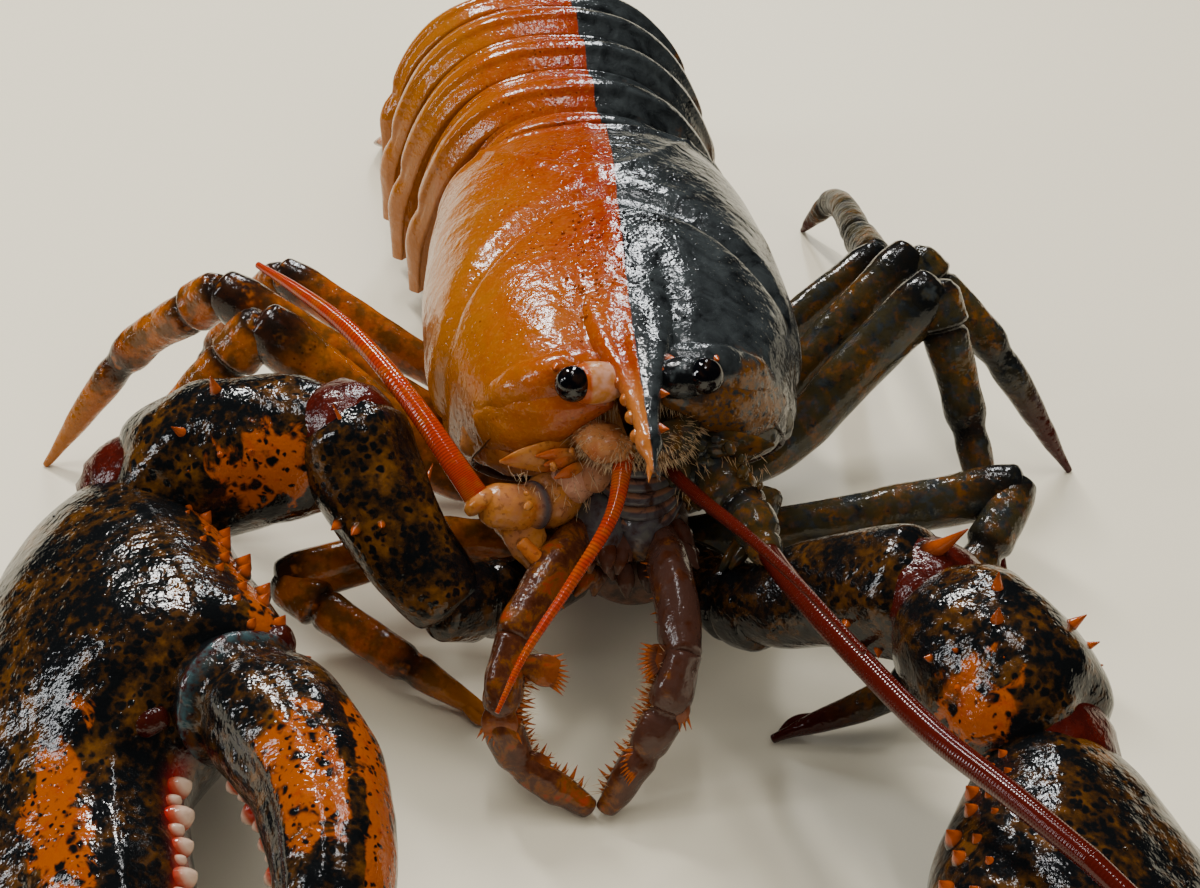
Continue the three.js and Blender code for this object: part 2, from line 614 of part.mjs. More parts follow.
function feelers() {
  const whip = (points, sizes, grow = 0, rings = 14) => tube(points, sizes, { sides: 8, rings, grow, blunt: 0.9 });
  const shell = [carapaceBody(GAP)];
  for (const [name, side] of [["right", -1], ["left", 1]]) {
    const stem = (grow) => stemOf(name, grow);
    const scale = tube(
      [v(side * 12, 33, 43), v(side * 16.5, 26, 45.5), v(side * 22.5, 21.5, 45.5)],
      [[0, 2.5, 1.6], [0.5, 3.6, 1.2], [1, 0.8, 0.6]],
      { sides: 6, rings: 7 },
    );
    const short = name === "right";
    const sizes = short
      ? [[0, 2.2, 2.2], [0.6, 1.5, 1.5], [1, 0.6, 0.6]]
      : [[0, 1.8, 1.8], [0.5, 1.8, 1.8], [1, 1.6, 1.6]];
    node(`antenna_base_${name}`, clearOf(join(stem(0), scale), shell), short ? "orange" : "black");
    node(`antenna_${name}`, clearOf(whip(ANTENNA[name], sizes), stem(GAP)), "feeler");
    const thin = short ? [[0, 2, 2], [0.5, 1.2, 1.2], [1, 0.5, 0.5]] : [[0, 1.2, 1.2], [0.5, 1.2, 1.2], [1, 0.5, 0.5]];
    const foot = tube(
      [v(side * 4.6, 38, 49), v(side * 3.8, 28, 48.6), ANTENNULE[name][0]],
      [[0, 2.6, 2.6], [1, 2.2, 2.2]],
      { sides: 8, rings: 5 },
    );
    const pair = join(foot, whip(ANTENNULE[name], thin));
    node(`antennule_${name}`, clearOf(pair, [...shell, stem(GAP)]), "feeler");
  }
  const join2 = whip(ANTENNA.left, [[0, 1.8, 1.8], [0.5, 1.8, 1.8], [1, 1.6, 1.6]], GAP);
  const tip = whip(ANTENNA.leftTip, [[0, 1.6, 1.6], [0.5, 1.1, 1.1], [1, 0.4, 0.4]], 0, 12);
  node("antenna_left_tip", clearOf(tip, join2), "feeler");
}

function mouth(shell) {
  const jaws = (grow) =>
    [-1, 1].map((side) =>
      tube(
        [v(side * 3.5 - 2, 38, 36), v(side * 3.5 - 2.5, 25, 32), v(side * 2.4 - 2.5, 21, 29)],
        [[0, 4.5, 6], [0.5, 4.5, 5.5], [1, 3, 3]],
        { sides: 8, rings: 6, grow },
      ),
    );
  const stems = ["right", "left"].map((name) => stemOf(name, GAP));
  node("mouth", clearOf(join(jaws(0)), [...shell, ...stems]), "belly");
  for (const side of ["right", "left"]) {
    const out = side === "right" ? -1 : 1;
    const path = MAXILLIPED[side];
    const upper = (grow) =>
      tube(path.slice(0, 3), [[0, 3.2, 4], [0.5, 3.6, 4.6], [1, 3, 3.8]], { sides: 8, rings: 7, grow });
    const lower = tube(path.slice(2), [[0, 3, 3.6], [0.4, 3.2, 4.2], [0.75, 2.6, 3.2], [1, 1.1, 1.2]], {
      sides: 8,
      rings: 9,
    });
    const comb = (points, count) => {
      const curve = new THREE.CatmullRomCurve3(points, false, "centripetal");
      return Array.from({ length: count }, (_, i) => {
        const t = lerp(0.16, 0.9, i / (count - 1));
        const inward = curve.getTangent(t).cross(v(0, -0.75, 0.6)).multiplyScalar(out);
        const at = curve.getPoint(t).addScaledVector(inward, 2.4 - 0.9 * t);
        return spike(at, inward, 0.8, 4.2);
      });
    };
    const solid = clearOf(upper(0), [...shell, ...stems, ...jaws(GAP)]);
    node(`maxilliped_${side}_upper`, solid, "mottled");
    node(`maxilliped_${side}_lower`, clearOf(join(lower, comb(path.slice(2), 8)), upper(GAP)), "mottled");
  }
}

const chest = sternum(GAP);
const body = [carapaceBody(GAP), chest];
node("carapace", carapace(), "orange");
node("sternum", clearOf(sternum(), carapaceBody(GAP)), "belly");
tail();
node("telson", telson(), "mottled");
for (const [name, side] of [["right", -1], ["left", 1]]) {
  const { inner, outer } = tailFan(side);
  const innerGrown = tailFan(side, GAP).inner;
  node(`tail_fan_inner_${name}`, clearOf(inner, telson(GAP)), side < 0 ? "orange" : "black");
  node(`tail_fan_outer_${name}`, clearOf(outer, innerGrown), side < 0 ? "orange" : "black");
}
eyes();
feelers();
mouth(body);
for (const side of ["right", "left"]) {
  arm(side, body);
  LEGS[side].forEach((points, index) => leg(side, index, points, body));
}

// The origin goes to the middle of the footprint, on the floor.
const reach = new THREE.Box3().setFromObject(lobster);
const middle = reach.getCenter(v(0, 0, 0));
lobster.position.set(-middle.x, -middle.y, -reach.min.z);

export default lobster;
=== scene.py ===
"""An American lobster, orange on its right half and black on its left, as a still museum model."""

import math
import random

import bmesh
import bpy
import numpy as np
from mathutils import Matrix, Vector


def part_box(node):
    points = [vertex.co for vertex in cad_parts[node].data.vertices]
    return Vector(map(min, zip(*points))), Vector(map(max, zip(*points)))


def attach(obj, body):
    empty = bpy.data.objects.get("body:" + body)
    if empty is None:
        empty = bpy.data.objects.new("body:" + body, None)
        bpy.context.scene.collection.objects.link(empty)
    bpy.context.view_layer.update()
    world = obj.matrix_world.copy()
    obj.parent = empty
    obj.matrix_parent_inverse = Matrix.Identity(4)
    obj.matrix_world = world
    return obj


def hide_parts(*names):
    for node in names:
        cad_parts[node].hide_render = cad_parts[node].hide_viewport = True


bl_info = {
    "name": "American Lobster",
    "version": (1, 0, 0),
    "blender": (4, 5, 0),
    "location": "View3D > Sidebar > Lobster",
    "description": "Builds a two-coloured lobster around its packed solids",
    "category": "Add Mesh",
}

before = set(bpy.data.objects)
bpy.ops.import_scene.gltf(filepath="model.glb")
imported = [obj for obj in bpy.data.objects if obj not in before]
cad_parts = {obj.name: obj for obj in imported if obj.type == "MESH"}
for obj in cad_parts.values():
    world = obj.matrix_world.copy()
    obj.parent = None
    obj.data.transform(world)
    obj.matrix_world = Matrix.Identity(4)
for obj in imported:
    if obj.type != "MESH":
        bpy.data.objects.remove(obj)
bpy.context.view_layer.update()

# Positions are written in the lobster's own millimetres: its head towards -Y, its right side at -X,
# the beak's tip near the origin. The right eye ties them to the frame.
EYE = np.array([10.5, 23.2, 62.0])
EYE_RADIUS = 2.9
_low, _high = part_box("eye_right")
SHIFT = np.array([
    _low[0] * 1000 - (-EYE[0] - EYE_RADIUS),
    _low[1] * 1000 - (EYE[1] - EYE_RADIUS),
    _high[2] * 1000 - (EYE[2] + EYE_RADIUS),
])
SIDES = (("right", -1), ("left", 1))
UP = (0, 0, 1)
MM = 0.001
TURN = 2 * math.pi
# What each half's legs, feeler roots and feelers are finished as, and a name for each half's shell.
LEG_FINISH = {"right": "leg_orange", "left": "leg_dark"}
ROOT_FINISH = {"right": "face", "left": "leg_dark"}
FACE_FINISH = {"right": "face", "left": "face_dark"}
FEELER_FINISH = {"right": "feeler_red", "left": "feeler_dark"}
SHELL_SLOT = {"right": "shell_orange", "left": "shell_black"}

# Shell rows: [y, half width, top, bottom].
CARAPACE = [
    [24, 15, 61, 40], [28, 21, 62.5, 35], [34, 27, 64, 30], [44, 31, 65.5, 26], [58, 33, 66.5, 23.5],
    [74, 33.5, 66, 22.5], [90, 32.5, 65, 22], [104, 30.5, 63.5, 22.5], [113, 28.5, 61.5, 23.5],
    [117, 26.5, 60, 25],
]
CARAPACE_REAR = 117
FACE_Y = 37
GROOVE_TOP_Y = 78
# The shell's front edge as [height share from the keel up to the beak, y].
FRONT_EDGE = [[-1, 45], [-0.5, 39], [0, 31.5], [0.4, 27], [0.62, 28], [0.86, 30], [1, 27]]

TAIL_BACK = [
    (0, 117.5, 58.5), (-0.8, 136, 60), (-1.8, 155, 60.5), (-2.6, 172, 60), (-3.2, 187, 58.5), (-3.5, 202, 53.5),
    (-3.5, 212, 46.5), (-3.5, 218.5, 39),
]
FAN_SIDE = -3.5
# Tail rings: [front and rear as shares of that line, half width, depth of the side plates].
TAIL_RINGS = [
    [0, 0.11, 27, 34], [0.11, 0.28, 35, 50], [0.28, 0.45, 37.4, 51], [0.45, 0.62, 38.3, 49],
    [0.62, 0.79, 36.8, 38], [0.79, 1, 31, 26],
]

# Walking legs: root, hip, knee, shin and tip.
LEGS = {
    "right": [
        [(-12, 42, 15), (-36, 42, 18), (-60, 38, 14), (-42, 24, 8), (-24, 13, 0.4)],
        [(-12, 55, 15), (-32, 60, 21), (-62, 73, 45), (-80, 72, 26), (-97, 68, 0.3)],
        [(-12, 69, 15), (-32, 74, 21), (-70, 88, 43.5), (-88, 96, 28), (-110, 97, 0.3)],
        [(-12, 84, 15), (-32, 91, 22), (-60, 106, 36), (-74, 112, 18), (-84, 111, 0.3)],
    ],
    "left": [
        [(12, 42, 15), (29, 36, 20), (67, 31, 30), (46, 7, 11), (21, 4, 1)],
        [(12, 55, 15), (32, 61, 21), (61, 73, 45), (66, 64, 26), (71, 42, 0.3)],
        [(12, 69, 15), (32, 75, 21), (61, 91, 41), (74, 82, 29), (93, 74, 0.3)],
        [(12, 84, 15), (32, 91, 22), (57, 102, 35), (61, 158, 17), (58, 175, 0.3)],
    ],
}
LEG_SCALE = [0.95, 1.1, 1.05, 0.85]
# Only the front two pairs end in small pincers.
PINCER_PAIRS = 2
# This leg's shin points straight away from the camera, and a wet gloss would mirror only the floor.
DULL_LEG = "leg_left_4"

ARMS = {
    "right": {
        "hip": [(-11, 28, 21), (-22, 22, 21), (-33, 17, 25)],
        "merus": [(-32, 16, 25), (-41, 26, 36), (-47, 38, 45)],
        "carpus": [(-46, 38, 42), (-65, 42, 39.5), (-84, 43, 31.5)], "carpus_scale": 0.95,
        "wrist": (-83, 44, 29), "along": (0.06, -0.985, -0.14), "inward": (0.86, 0.02, 0.5),
    },
    "left": {
        "hip": [(9, 26, 21), (14, 17, 22), (19, 9, 25)],
        "merus": [(18, 10, 25), (30, 2, 34), (41, -8, 40.5)],
        "carpus": [(41, -10, 39), (47, -24, 39.5), (52, -37, 34)], "carpus_scale": 0.94,
        "wrist": (52, -37, 33), "along": (-0.14, -0.965, -0.225), "inward": (-0.85, 0.05, 0.5),
    },
}
MERUS_SPINES = {
    "right": [[(-43, 27, 45), (-48.5, 33, 54), 2.6], [(-36, 28, 38), (-33, 36, 39), 2.2]],
    "left": [[(39.5, -6, 47.5), (44, -12.5, 56.5), 3.2], [(31, -7, 33.5), (30, -14, 33.5), 2.2]],
}
# Spines of each wrist piece: the way out from its middle to its surface.
CARPUS_SPINES = {
    "right": [
        (-12.1, 0, 3.4), (-2.7, -0.3, 12.3), (9.2, -8.4, -1.8), (-7.9, -5.5, 8.1), (2.6, -10.2, 6.9),
        (-10.9, 2.1, 5.9),
    ],
    "left": [
        (-0.3, 2.6, 11.9), (-1.8, -3.2, 11.6), (9.7, -0.6, 7.4), (11.5, -1.5, 3.9), (11.6, -3.4, 2),
        (11.3, -4.6, 0.5), (-9, -4.1, -7.2),
    ],
}
# Hands: palm rows [distance from the wrist, centre, half width, half thickness], the finger's path and its
# sizes, the pairs of teeth on each jaw and the size of the largest.
HANDS = {
    "right": {
        "palm": [
            [0, -1, 10, 9], [8, -4.2, 15.6, 13], [20, -5.8, 22.6, 16.5], [36, -3.7, 27.3, 18],
            [46, -2.5, 28, 17.5], [54, -7, 23, 15.5], [62, -11, 18, 13.5], [80, -9, 16, 11.5],
            [98, -6, 11, 8.5], [112, -2.5, 5.5, 5], [121, 1, 2.2, 2.2],
        ],
        "finger": [(50, 14.5, 1), (62, 24.5, 1), (78, 31, 0), (94, 32, 0), (108, 27, 0), (117, 19.5, 0)],
        "finger_sizes": [[0, 9.5, 9.5], [0.2, 10.5, 10.5], [0.5, 9, 9.5], [0.8, 6, 6.2], [1, 1.8, 1.8]],
        "teeth": 9, "tooth": 2.6,
    },
    "left": {
        "palm": [
            [0, 0, 9.5, 8.5], [8, -2, 15, 12], [20, -3, 22, 15.5], [34, -3, 24.5, 16.5],
            [44, -3, 24, 16], [52, -7, 16.5, 13], [62, -8.5, 14, 11.5], [82, -7.5, 11.5, 9.5],
            [102, -4.5, 7.8, 7], [117, -1, 4, 4], [126, 2, 1.8, 1.8],
        ],
        "finger": [(47, 11, 1), (60, 15, 1), (78, 16, 0), (96, 14, 0), (112, 10, 0), (123, 5, 0)],
        "finger_sizes": [[0, 8, 8.5], [0.2, 7.6, 8.5], [0.5, 6, 7], [0.8, 4, 4.6], [1, 1.5, 1.5]],
        "teeth": 15, "tooth": 1.6,
    },
}

STEMS = {
    "right": [(-11, 39, 41), (-13.5, 27, 37.5), (-19, 22.5, 39), (-25, 21.6, 40.6)],
    "left": [(11, 39, 42), (14.3, 23, 40.5), (17.3, 15.5, 39.5), (18.3, 10.8, 38.4)],
}
ANTENNA = {
    "antenna_right": [
        (-25.5, 21.1, 41), (-29.5, 25.6, 46), (-36.1, 36.1, 52), (-45.7, 53.8, 55),
        (-54.5, 67.6, 55), (-62, 79, 54),
    ],
    "antenna_left": [
        (18.4, 10, 38), (20.2, -7, 43), (25.6, -29, 47), (31.3, -47.5, 50), (37.5, -61, 52),
        (44.3, -73, 52),
    ],
    "antenna_left_tip": [
        (44.3, -73, 52), (60, -97, 46), (80, -122, 33), (99, -146, 17), (112, -163, 0.3),
    ],
}
ANTENNA_SIZES = {
    "antenna_right": [[0, 2.2, 2.2], [0.6, 1.5, 1.5], [1, 0.6, 0.6]],
    "antenna_left": [[0, 1.8, 1.8], [0.5, 1.8, 1.8], [1, 1.6, 1.6]],
    "antenna_left_tip": [[0, 1.6, 1.6], [0.5, 1.1, 1.1], [1, 0.4, 0.4]],
}
ANTENNULE = {
    "right": [(-2.4, 22, 48.5), (-5.6, 11, 45), (-13, 2, 39), (-21, -8, 34), (-25.7, -15.3, 29.5)],
    "left": [(3, 24, 46.5), (5.5, 20, 45.5), (8.5, 12, 46.5), (13, -3.5, 51), (17.6, -22, 56), (21.7, -43, 61.5)],
}
MAXILLIPED = {
    "right": [(-4.5, 34, 28), (-13, 18, 31), (-22, 4.5, 27), (-24.2, -1, 19), (-22.8, -4, 9.5), (-11.4, -9.8, 2.2)],
    "left": [(4, 34, 27), (4.5, 14, 29.5), (4.6, 0, 25), (2, -4, 19), (-1.5, -6.5, 12), (-8.6, -10, 2.2)],
}


# Shapes: every surface is (points, faces, marks), with a mark's value for each point.

def vec(*p):
    return np.array(p, float)


def mirrored(points, side):
    return [(side * x, y, z) for x, y, z in points]


def hump(x, middle, width):
    """1 at the middle, falling smoothly to nearly 0 at twice the width from it."""
    return np.exp(-(((x - middle) / width) ** 2))


def squared(value, power):
    """A sine or cosine bent so that the oval it draws is squarer, or slimmer where power is over 1."""
    return np.sign(value) * np.abs(value) ** power


def scaled(rows, by):
    return [[t, wide * by, high * by] for t, wide, high in rows]


def unit(p):
    p = np.asarray(p, float)
    return p / np.maximum(np.linalg.norm(p, axis=-1, keepdims=True), 1e-9)


def read(rows, keys):
    """Reads rows [key, a, b, ...] at keys, on a smooth curve through them: one column for each value."""
    rows = np.asarray(rows, float)
    keys = np.atleast_1d(np.asarray(keys, float))
    last = len(rows) - 1
    i = np.clip(np.searchsorted(rows[:, 0], keys, side="left") - 1, 0, last - 1)
    p, q = rows[i], rows[i + 1]
    before, after = rows[np.maximum(i - 1, 0)], rows[np.minimum(i + 2, last)]
    span = (q[:, 0] - p[:, 0])[:, None]
    f = np.clip((keys - p[:, 0])[:, None] / span, 0, 1)
    slope_in = (q - before)[:, 1:] / (q - before)[:, :1] * span
    slope_out = (after - p)[:, 1:] / (after - p)[:, :1] * span
    f2, f3 = f * f, f * f * f
    value = p[:, 1:] * (2 * f3 - 3 * f2 + 1) + q[:, 1:] * (3 * f2 - 2 * f3)
    return (value + slope_in * (f3 - 2 * f2 + f) + slope_out * (f3 - f2)).T


def ease(low, high, x):
    """A smooth step from 0 at low to 1 at high."""
    t = np.clip((np.asarray(x, float) - low) / (high - low), 0, 1)
    return t * t * (3 - 2 * t)


class Path:
    """A smooth curve through points, spaced so that it never overshoots between near ones."""

    def __init__(self, points):
        p = np.asarray(points, float)
        self.points = np.vstack([2 * p[0] - p[1], p, 2 * p[-1] - p[-2]])
        self.spans = len(p) - 1

    def at(self, t):
        t = np.clip(np.atleast_1d(np.asarray(t, float)), 0, 1) * self.spans
        i = np.minimum(t.astype(int), self.spans - 1)
        w = (t - i)[:, None]
        a, b, c, d = (self.points[i + k] for k in range(4))
        ab, bc, cd = (np.sqrt(np.linalg.norm(n - m, axis=1))[:, None] for m, n in ((a, b), (b, c), (c, d)))
        into = ((b - a) / ab - (c - a) / (ab + bc) + (c - b) / bc) * bc
        out = ((c - b) / bc - (d - b) / (bc + cd) + (d - c) / cd) * bc
        w2, w3 = w * w, w * w * w
        return b * (2 * w3 - 3 * w2 + 1) + c * (3 * w2 - 2 * w3) + into * (w3 - 2 * w2 + w) + out * (w3 - w2)

    def way(self, t):
        t = np.atleast_1d(np.asarray(t, float))
        return unit(self.at(np.minimum(t + 1e-4, 1)) - self.at(np.maximum(t - 1e-4, 0)))

    def length(self):
        return np.linalg.norm(np.diff(self.at(np.linspace(0, 1, 200)), axis=0), axis=1).sum()


def sheet(grid, caps=True, **marks):
    """A surface from rings of points: grid is (rings, sides, 3). Caps close the two ends to a point."""
    rings, sides, _ = grid.shape
    points = grid.reshape(-1, 3)
    a = np.arange(rings * sides).reshape(rings, sides)
    b = np.roll(a, -1, axis=1)
    faces = [np.stack([a[:-1], b[:-1], b[1:], a[1:]], axis=-1).reshape(-1, 4)]
    values = {key: np.broadcast_to(value, (rings, sides)).reshape(-1) for key, value in marks.items()}
    if caps:
        ends = np.stack([grid[0].mean(axis=0), grid[-1].mean(axis=0)])
        points = np.vstack([points, ends])
        n = rings * sides
        first, last, none = a[0], a[-1], np.full(sides, -1)
        faces.append(np.stack([np.roll(first, -1), first, np.full(sides, n), none], axis=-1))
        faces.append(np.stack([last, np.roll(last, -1), np.full(sides, n + 1), none], axis=-1))
        values = {k: np.append(value, [value[:sides].mean(), value[-sides:].mean()]) for k, value in values.items()}
    return points, np.vstack(faces), values


def join(*surfaces):
    """Several surfaces as one, with a mark that a surface lacks at 0."""
    keys = {key for _, _, marks in surfaces for key in marks}
    faces, start = [], 0
    for points, own, _ in surfaces:
        faces.append(np.where(own < 0, -1, own + start))
        start += len(points)
    values = {
        key: np.concatenate([marks.get(key, np.zeros(len(points))) for points, _, marks in surfaces]) for key in keys
    }
    return np.vstack([points for points, _, _ in surfaces]), np.vstack(faces), values


def marked(surface, **marks):
    """The surface with more marks, each a number or a value for each point."""
    points, faces, old = surface
    return points, faces, {**old, **{key: np.broadcast_to(value, len(points)) for key, value in marks.items()}}


def normals(surface):
    points, faces, _ = surface
    a, b, c = (points[faces[:, k]] for k in range(3))
    out = np.cross(b - a, c - a)
    total = np.zeros_like(points)
    for k in range(4):
        used = faces[:, k] >= 0
        np.add.at(total, faces[used, k], out[used])
    return unit(total)


def raised(surface, heights):
    """The surface moved out along its own normals."""
    points, faces, marks = surface
    return points + normals(surface) * np.asarray(heights)[:, None], faces, marks


def patches(points, *spots):
    """A mark that is high near each (centre, radius, strength)."""
    total = np.zeros(len(points))
    for centre, radius, strength in spots:
        total += strength * np.exp(-((np.linalg.norm(points - vec(*centre), axis=1) / radius) ** 2))
    return total


def lattice(cells, seed):
    """A fixed random value from 0 to 1 for each whole-numbered cell."""
    n = (cells[..., 0] * 73856093) ^ (cells[..., 1] * 19349663) ^ (cells[..., 2] * 83492791) ^ (seed * 2654435)
    n = (n ^ (n >> 13)) * 1274126177
    return ((n ^ (n >> 16)) & 0xFFFF) / 65535.0


def grain(points, size, seed=1):
    """Smooth random values from -1 to 1 with lumps of about that size."""
    q = np.asarray(points) / size
    cell = np.floor(q).astype(np.int64)
    f = q - cell
    f = f * f * (3 - 2 * f)
    total = 0
    for corner in range(8):
        step = np.array([corner & 1, corner >> 1 & 1, corner >> 2 & 1])
        share = np.prod(np.where(step == 1, f, 1 - f), axis=-1)
        total = total + share * lattice(cell + step, seed)
    return total * 2 - 1


def lumpy(surface, *lumps):
    """The surface raised by lumps, each (size, seed, height)."""
    return raised(surface, sum(grain(surface[0], size, seed) * height for size, seed, height in lumps))


ROUND_ENDS = np.radians([80, 62, 42, 22])


def rounded(stations, ends):
    """Adds stations that round off both ends: where they are, how far they shrink and how far they are pushed."""
    more, run = len(ends), len(stations)
    places = np.concatenate([np.full(more, stations[0]), stations, np.full(more, stations[-1])])
    shrink = np.concatenate([np.cos(ends), np.ones(run), np.cos(ends[::-1])])
    push = np.concatenate([-np.sin(ends), np.zeros(run), np.sin(ends[::-1])])
    return places, shrink, push


def tube(points, rows, sides=24, rings=40, up=UP, bulge=0.35, relief=None):
    """A tapering limb along a path, oval in section, with rounded ends."""
    path = points if isinstance(points, Path) else Path(points)
    stations, shrink, push = rounded(np.linspace(0, 1, rings), ROUND_ENDS)
    centre, way = path.at(stations), path.way(stations)
    side = unit(np.cross(way, np.asarray(up, float)))
    top = np.cross(side, way)
    wide, high = read(rows, stations)
    angle = np.arange(sides) * TURN / sides
    extra = relief(stations[:, None], angle[None, :]) if relief else 0.0
    reach = (wide * shrink)[:, None] * np.cos(angle) + np.cos(angle) * extra * shrink[:, None]
    lift = (high * shrink)[:, None] * np.sin(angle) + np.sin(angle) * extra * shrink[:, None]
    middle = centre + way * (push * bulge * high)[:, None]
    grid = middle[:, None] + side[:, None] * reach[..., None] + top[:, None] * lift[..., None]
    # A finish reads how far along the limb a point is, as a share and in millimetres, and how high round it.
    along = stations[:, None]
    return sheet(grid, along=along, reach=along * path.length(), around=np.sin(angle)[None, :])


# Spines, knobs and teeth start this share of their length below the surface that they grow from.
SUNK = 0.35
KNOB_ROWS = [[0, 1, 1], [0.45, 1, 1], [0.75, 0.85, 0.85], [0.92, 0.5, 0.5], [1, 0.22, 0.22]]
SPINE_ROWS = [[0, 1.05, 1.05], [0.3, 0.95, 0.95], [0.55, 0.62, 0.62], [0.8, 0.3, 0.3], [1, 0.06, 0.06]]
TOOTH_ROWS = [[0, 1.25, 1], [0.5, 1.15, 0.9], [0.75, 0.85, 0.62], [0.92, 0.5, 0.36], [1, 0.2, 0.16]]


def sprout(root, tip, rows, sides, rings, up, mark, bend=(0, 0, 0)):
    """A small taper with its root sunk in what it grows from, and a mark that rises to its tip."""
    root, tip = vec(*root), vec(*tip)
    start = root - (tip - root) * SUNK
    points, faces, marks = tube([start, (start + tip) / 2 + vec(*bend), tip], rows, sides, rings, up, 0.2)
    return points, faces, {mark: np.clip((marks["along"] - 0.28) / 0.72, 0.02, 1)}


def spine(root, tip, radius, bend=(0, 0, 0), sides=10, mark="tip", blunt=False):
    """A spine, or a knob where it is blunt."""
    rows = scaled(KNOB_ROWS if blunt else SPINE_ROWS, radius)
    steep = abs(unit(vec(*tip) - vec(*root))[2]) > 0.8
    return sprout(root, tip, rows, sides, 7, (0, 1, 0) if steep else UP, mark, bend)


def bead(root, way, size):
    """A tiny blunt knob, as long as its way."""
    return spine(root, root + way, size, sides=8, blunt=True, mark="bead")


def tooth(root, tip, radius, along):
    """A worn tooth, wider across the jaw than along it."""
    return sprout(root, tip, scaled(TOOTH_ROWS, radius), 16, 9, along, "tooth")


def bristles(roots, aims, lengths, radius=0.09, droop=0.25, seed=3):
    """Fine hairs, each a bent three-sided taper."""
    draw = random.Random(seed)
    pieces = []
    for root, aim, length in zip(roots, aims, lengths):
        aim, length = unit(aim), length * sizes().hair_length
        side = unit(np.cross(aim, unit(vec(draw.gauss(0, 1), draw.gauss(0, 1), draw.gauss(0, 1)))))
        other = np.cross(aim, side)
        t = np.linspace(0, 1, 5)[:, None]
        line = root + aim * length * t + (vec(0, 0, -1) + side * draw.uniform(-1, 1)) * (length * droop) * t * t
        size = radius * sizes().hair_thickness * (1 - 0.9 * t)
        turn = np.arange(3) * TURN / 3
        grid = line[:, None] + size[:, None] * (
            side * np.cos(turn)[None, :, None] + other * np.sin(turn)[None, :, None]
        )
        pieces.append(sheet(grid, along=t))
    return join(*pieces)


# Materials.

class Wire:
    """A socket whose arithmetic adds Math nodes."""

    def __init__(self, shop, socket):
        self.shop, self.socket = shop, socket

    def _math(self, operation, *values):
        return self.shop.node("ShaderNodeMath", {"operation": operation}, dict(enumerate(values)))

    def __add__(self, other):
        return self._math("ADD", self, other)

    __radd__ = __add__

    def __sub__(self, other):
        return self._math("SUBTRACT", self, other)

    def __rsub__(self, other):
        return self._math("SUBTRACT", other, self)

    def __mul__(self, other):
        return self._math("MULTIPLY", self, other)

    __rmul__ = __mul__

    def sine(self):
        return self._math("SINE", self)

    def larger(self, other):
        return self._math("MAXIMUM", self, other)

    def above(self, edge, soft):
        """0 below the edge and 1 above it, with a soft step between."""
        return self.shop.node(
            "ShaderNodeMapRange", {"interpolation_type": "SMOOTHSTEP"},
            {0: self, 1: edge - soft, 2: edge + soft, 3: 0.0, 4: 1.0},
        )


class Finish:
    """One material and the nodes that make it."""

    def __init__(self, name):
        self.material = bpy.data.materials.new(name)
        self.material.use_nodes = True
        self.tree = self.material.node_tree
        self.shader = self.tree.nodes["Principled BSDF"]

    def node(self, kind, settings=None, sockets=None, out=0):
        """Adds one node: its settings, then the values or wires of its sockets. Gives back one output."""
        made = self.tree.nodes.new(kind)
        for key, value in (settings or {}).items():
            if key == "stops":
                ramp = made.color_ramp
                while len(ramp.elements) < len(value):
                    ramp.elements.new(0.5)
                for element, (at, colour) in zip(ramp.elements, value):
                    element.position = at
                    element.color = (*colour, 1)
            else:
                setattr(made, key, value)
        for key, value in (sockets or {}).items():
            if isinstance(value, Wire):
                self.tree.links.new(value.socket, made.inputs[key])
            else:
                colour = isinstance(value, tuple) and len(made.inputs[key].default_value) == 4
                made.inputs[key].default_value = (*value, 1) if colour else value
        return Wire(self, made.outputs[out])

    def place(self):
        """The point on the lobster, in its own millimetres."""
        spot = self.node("ShaderNodeTexCoord", out="Object")
        return self.node(
            "ShaderNodeVectorMath", {"operation": "MULTIPLY_ADD"},
            {0: spot, 1: (1000.0, 1000.0, 1000.0), 2: tuple(float(-s) for s in SHIFT)},
        )

    def split(self, vector):
        made = self.node("ShaderNodeSeparateXYZ", sockets={0: vector}).socket.node
        return [Wire(self, made.outputs[i]) for i in range(3)]

    def mark(self, name):
        return self.node("ShaderNodeAttribute", {"attribute_name": name}, out="Fac")

    def noise(self, place, scale, detail=2.0, roughness=0.55, twist=0.0):
        return self.node(
            "ShaderNodeTexNoise", sockets={
                "Vector": place, "Scale": scale, "Detail": detail, "Roughness": roughness, "Distortion": twist,
            },
        )

    def cells(self, place, scale):
        """How far the point is from the nearest of many scattered ones."""
        return self.node("ShaderNodeTexVoronoi", {"feature": "F1"}, {"Vector": place, "Scale": scale})

    def stir(self, place, scale, reach):
        """The point pushed about by noise, so that round spots come out uneven."""
        push = self.node(
            "ShaderNodeTexNoise", sockets={"Vector": place, "Scale": scale, "Detail": 2.0}, out="Color",
        )
        return self.node("ShaderNodeVectorMath", {"operation": "MULTIPLY_ADD"}, {0: push, 1: (reach,) * 3, 2: place})

    def ramp(self, value, *stops):
        return self.node("ShaderNodeValToRGB", {"stops": stops}, {0: value})

    def mix(self, share, first, second):
        return self.node("ShaderNodeMix", {"data_type": "RGBA"}, {0: share, 6: first, 7: second}, out=2)

    def done(self, colour, roughness, height=None, depth=0.0002, **constants):
        """Wires up the shader: depth is the bump's, in metres, and constants are plain socket values."""
        for name, value in (("Base Color", colour), ("Roughness", roughness)):
            if isinstance(value, Wire):
                self.tree.links.new(value.socket, self.shader.inputs[name])
            else:
                self.shader.inputs[name].default_value = (*value, 1) if isinstance(value, tuple) else value
        for name, value in constants.items():
            self.shader.inputs[name.replace("_", " ")].default_value = value
        if height is not None:
            bump = self.node(
                "ShaderNodeBump",
                sockets={"Strength": 1.0, "Distance": depth * sizes().relief, "Height": height},
            )
            self.tree.links.new(bump.socket, self.shader.inputs["Normal"])
        return self.material


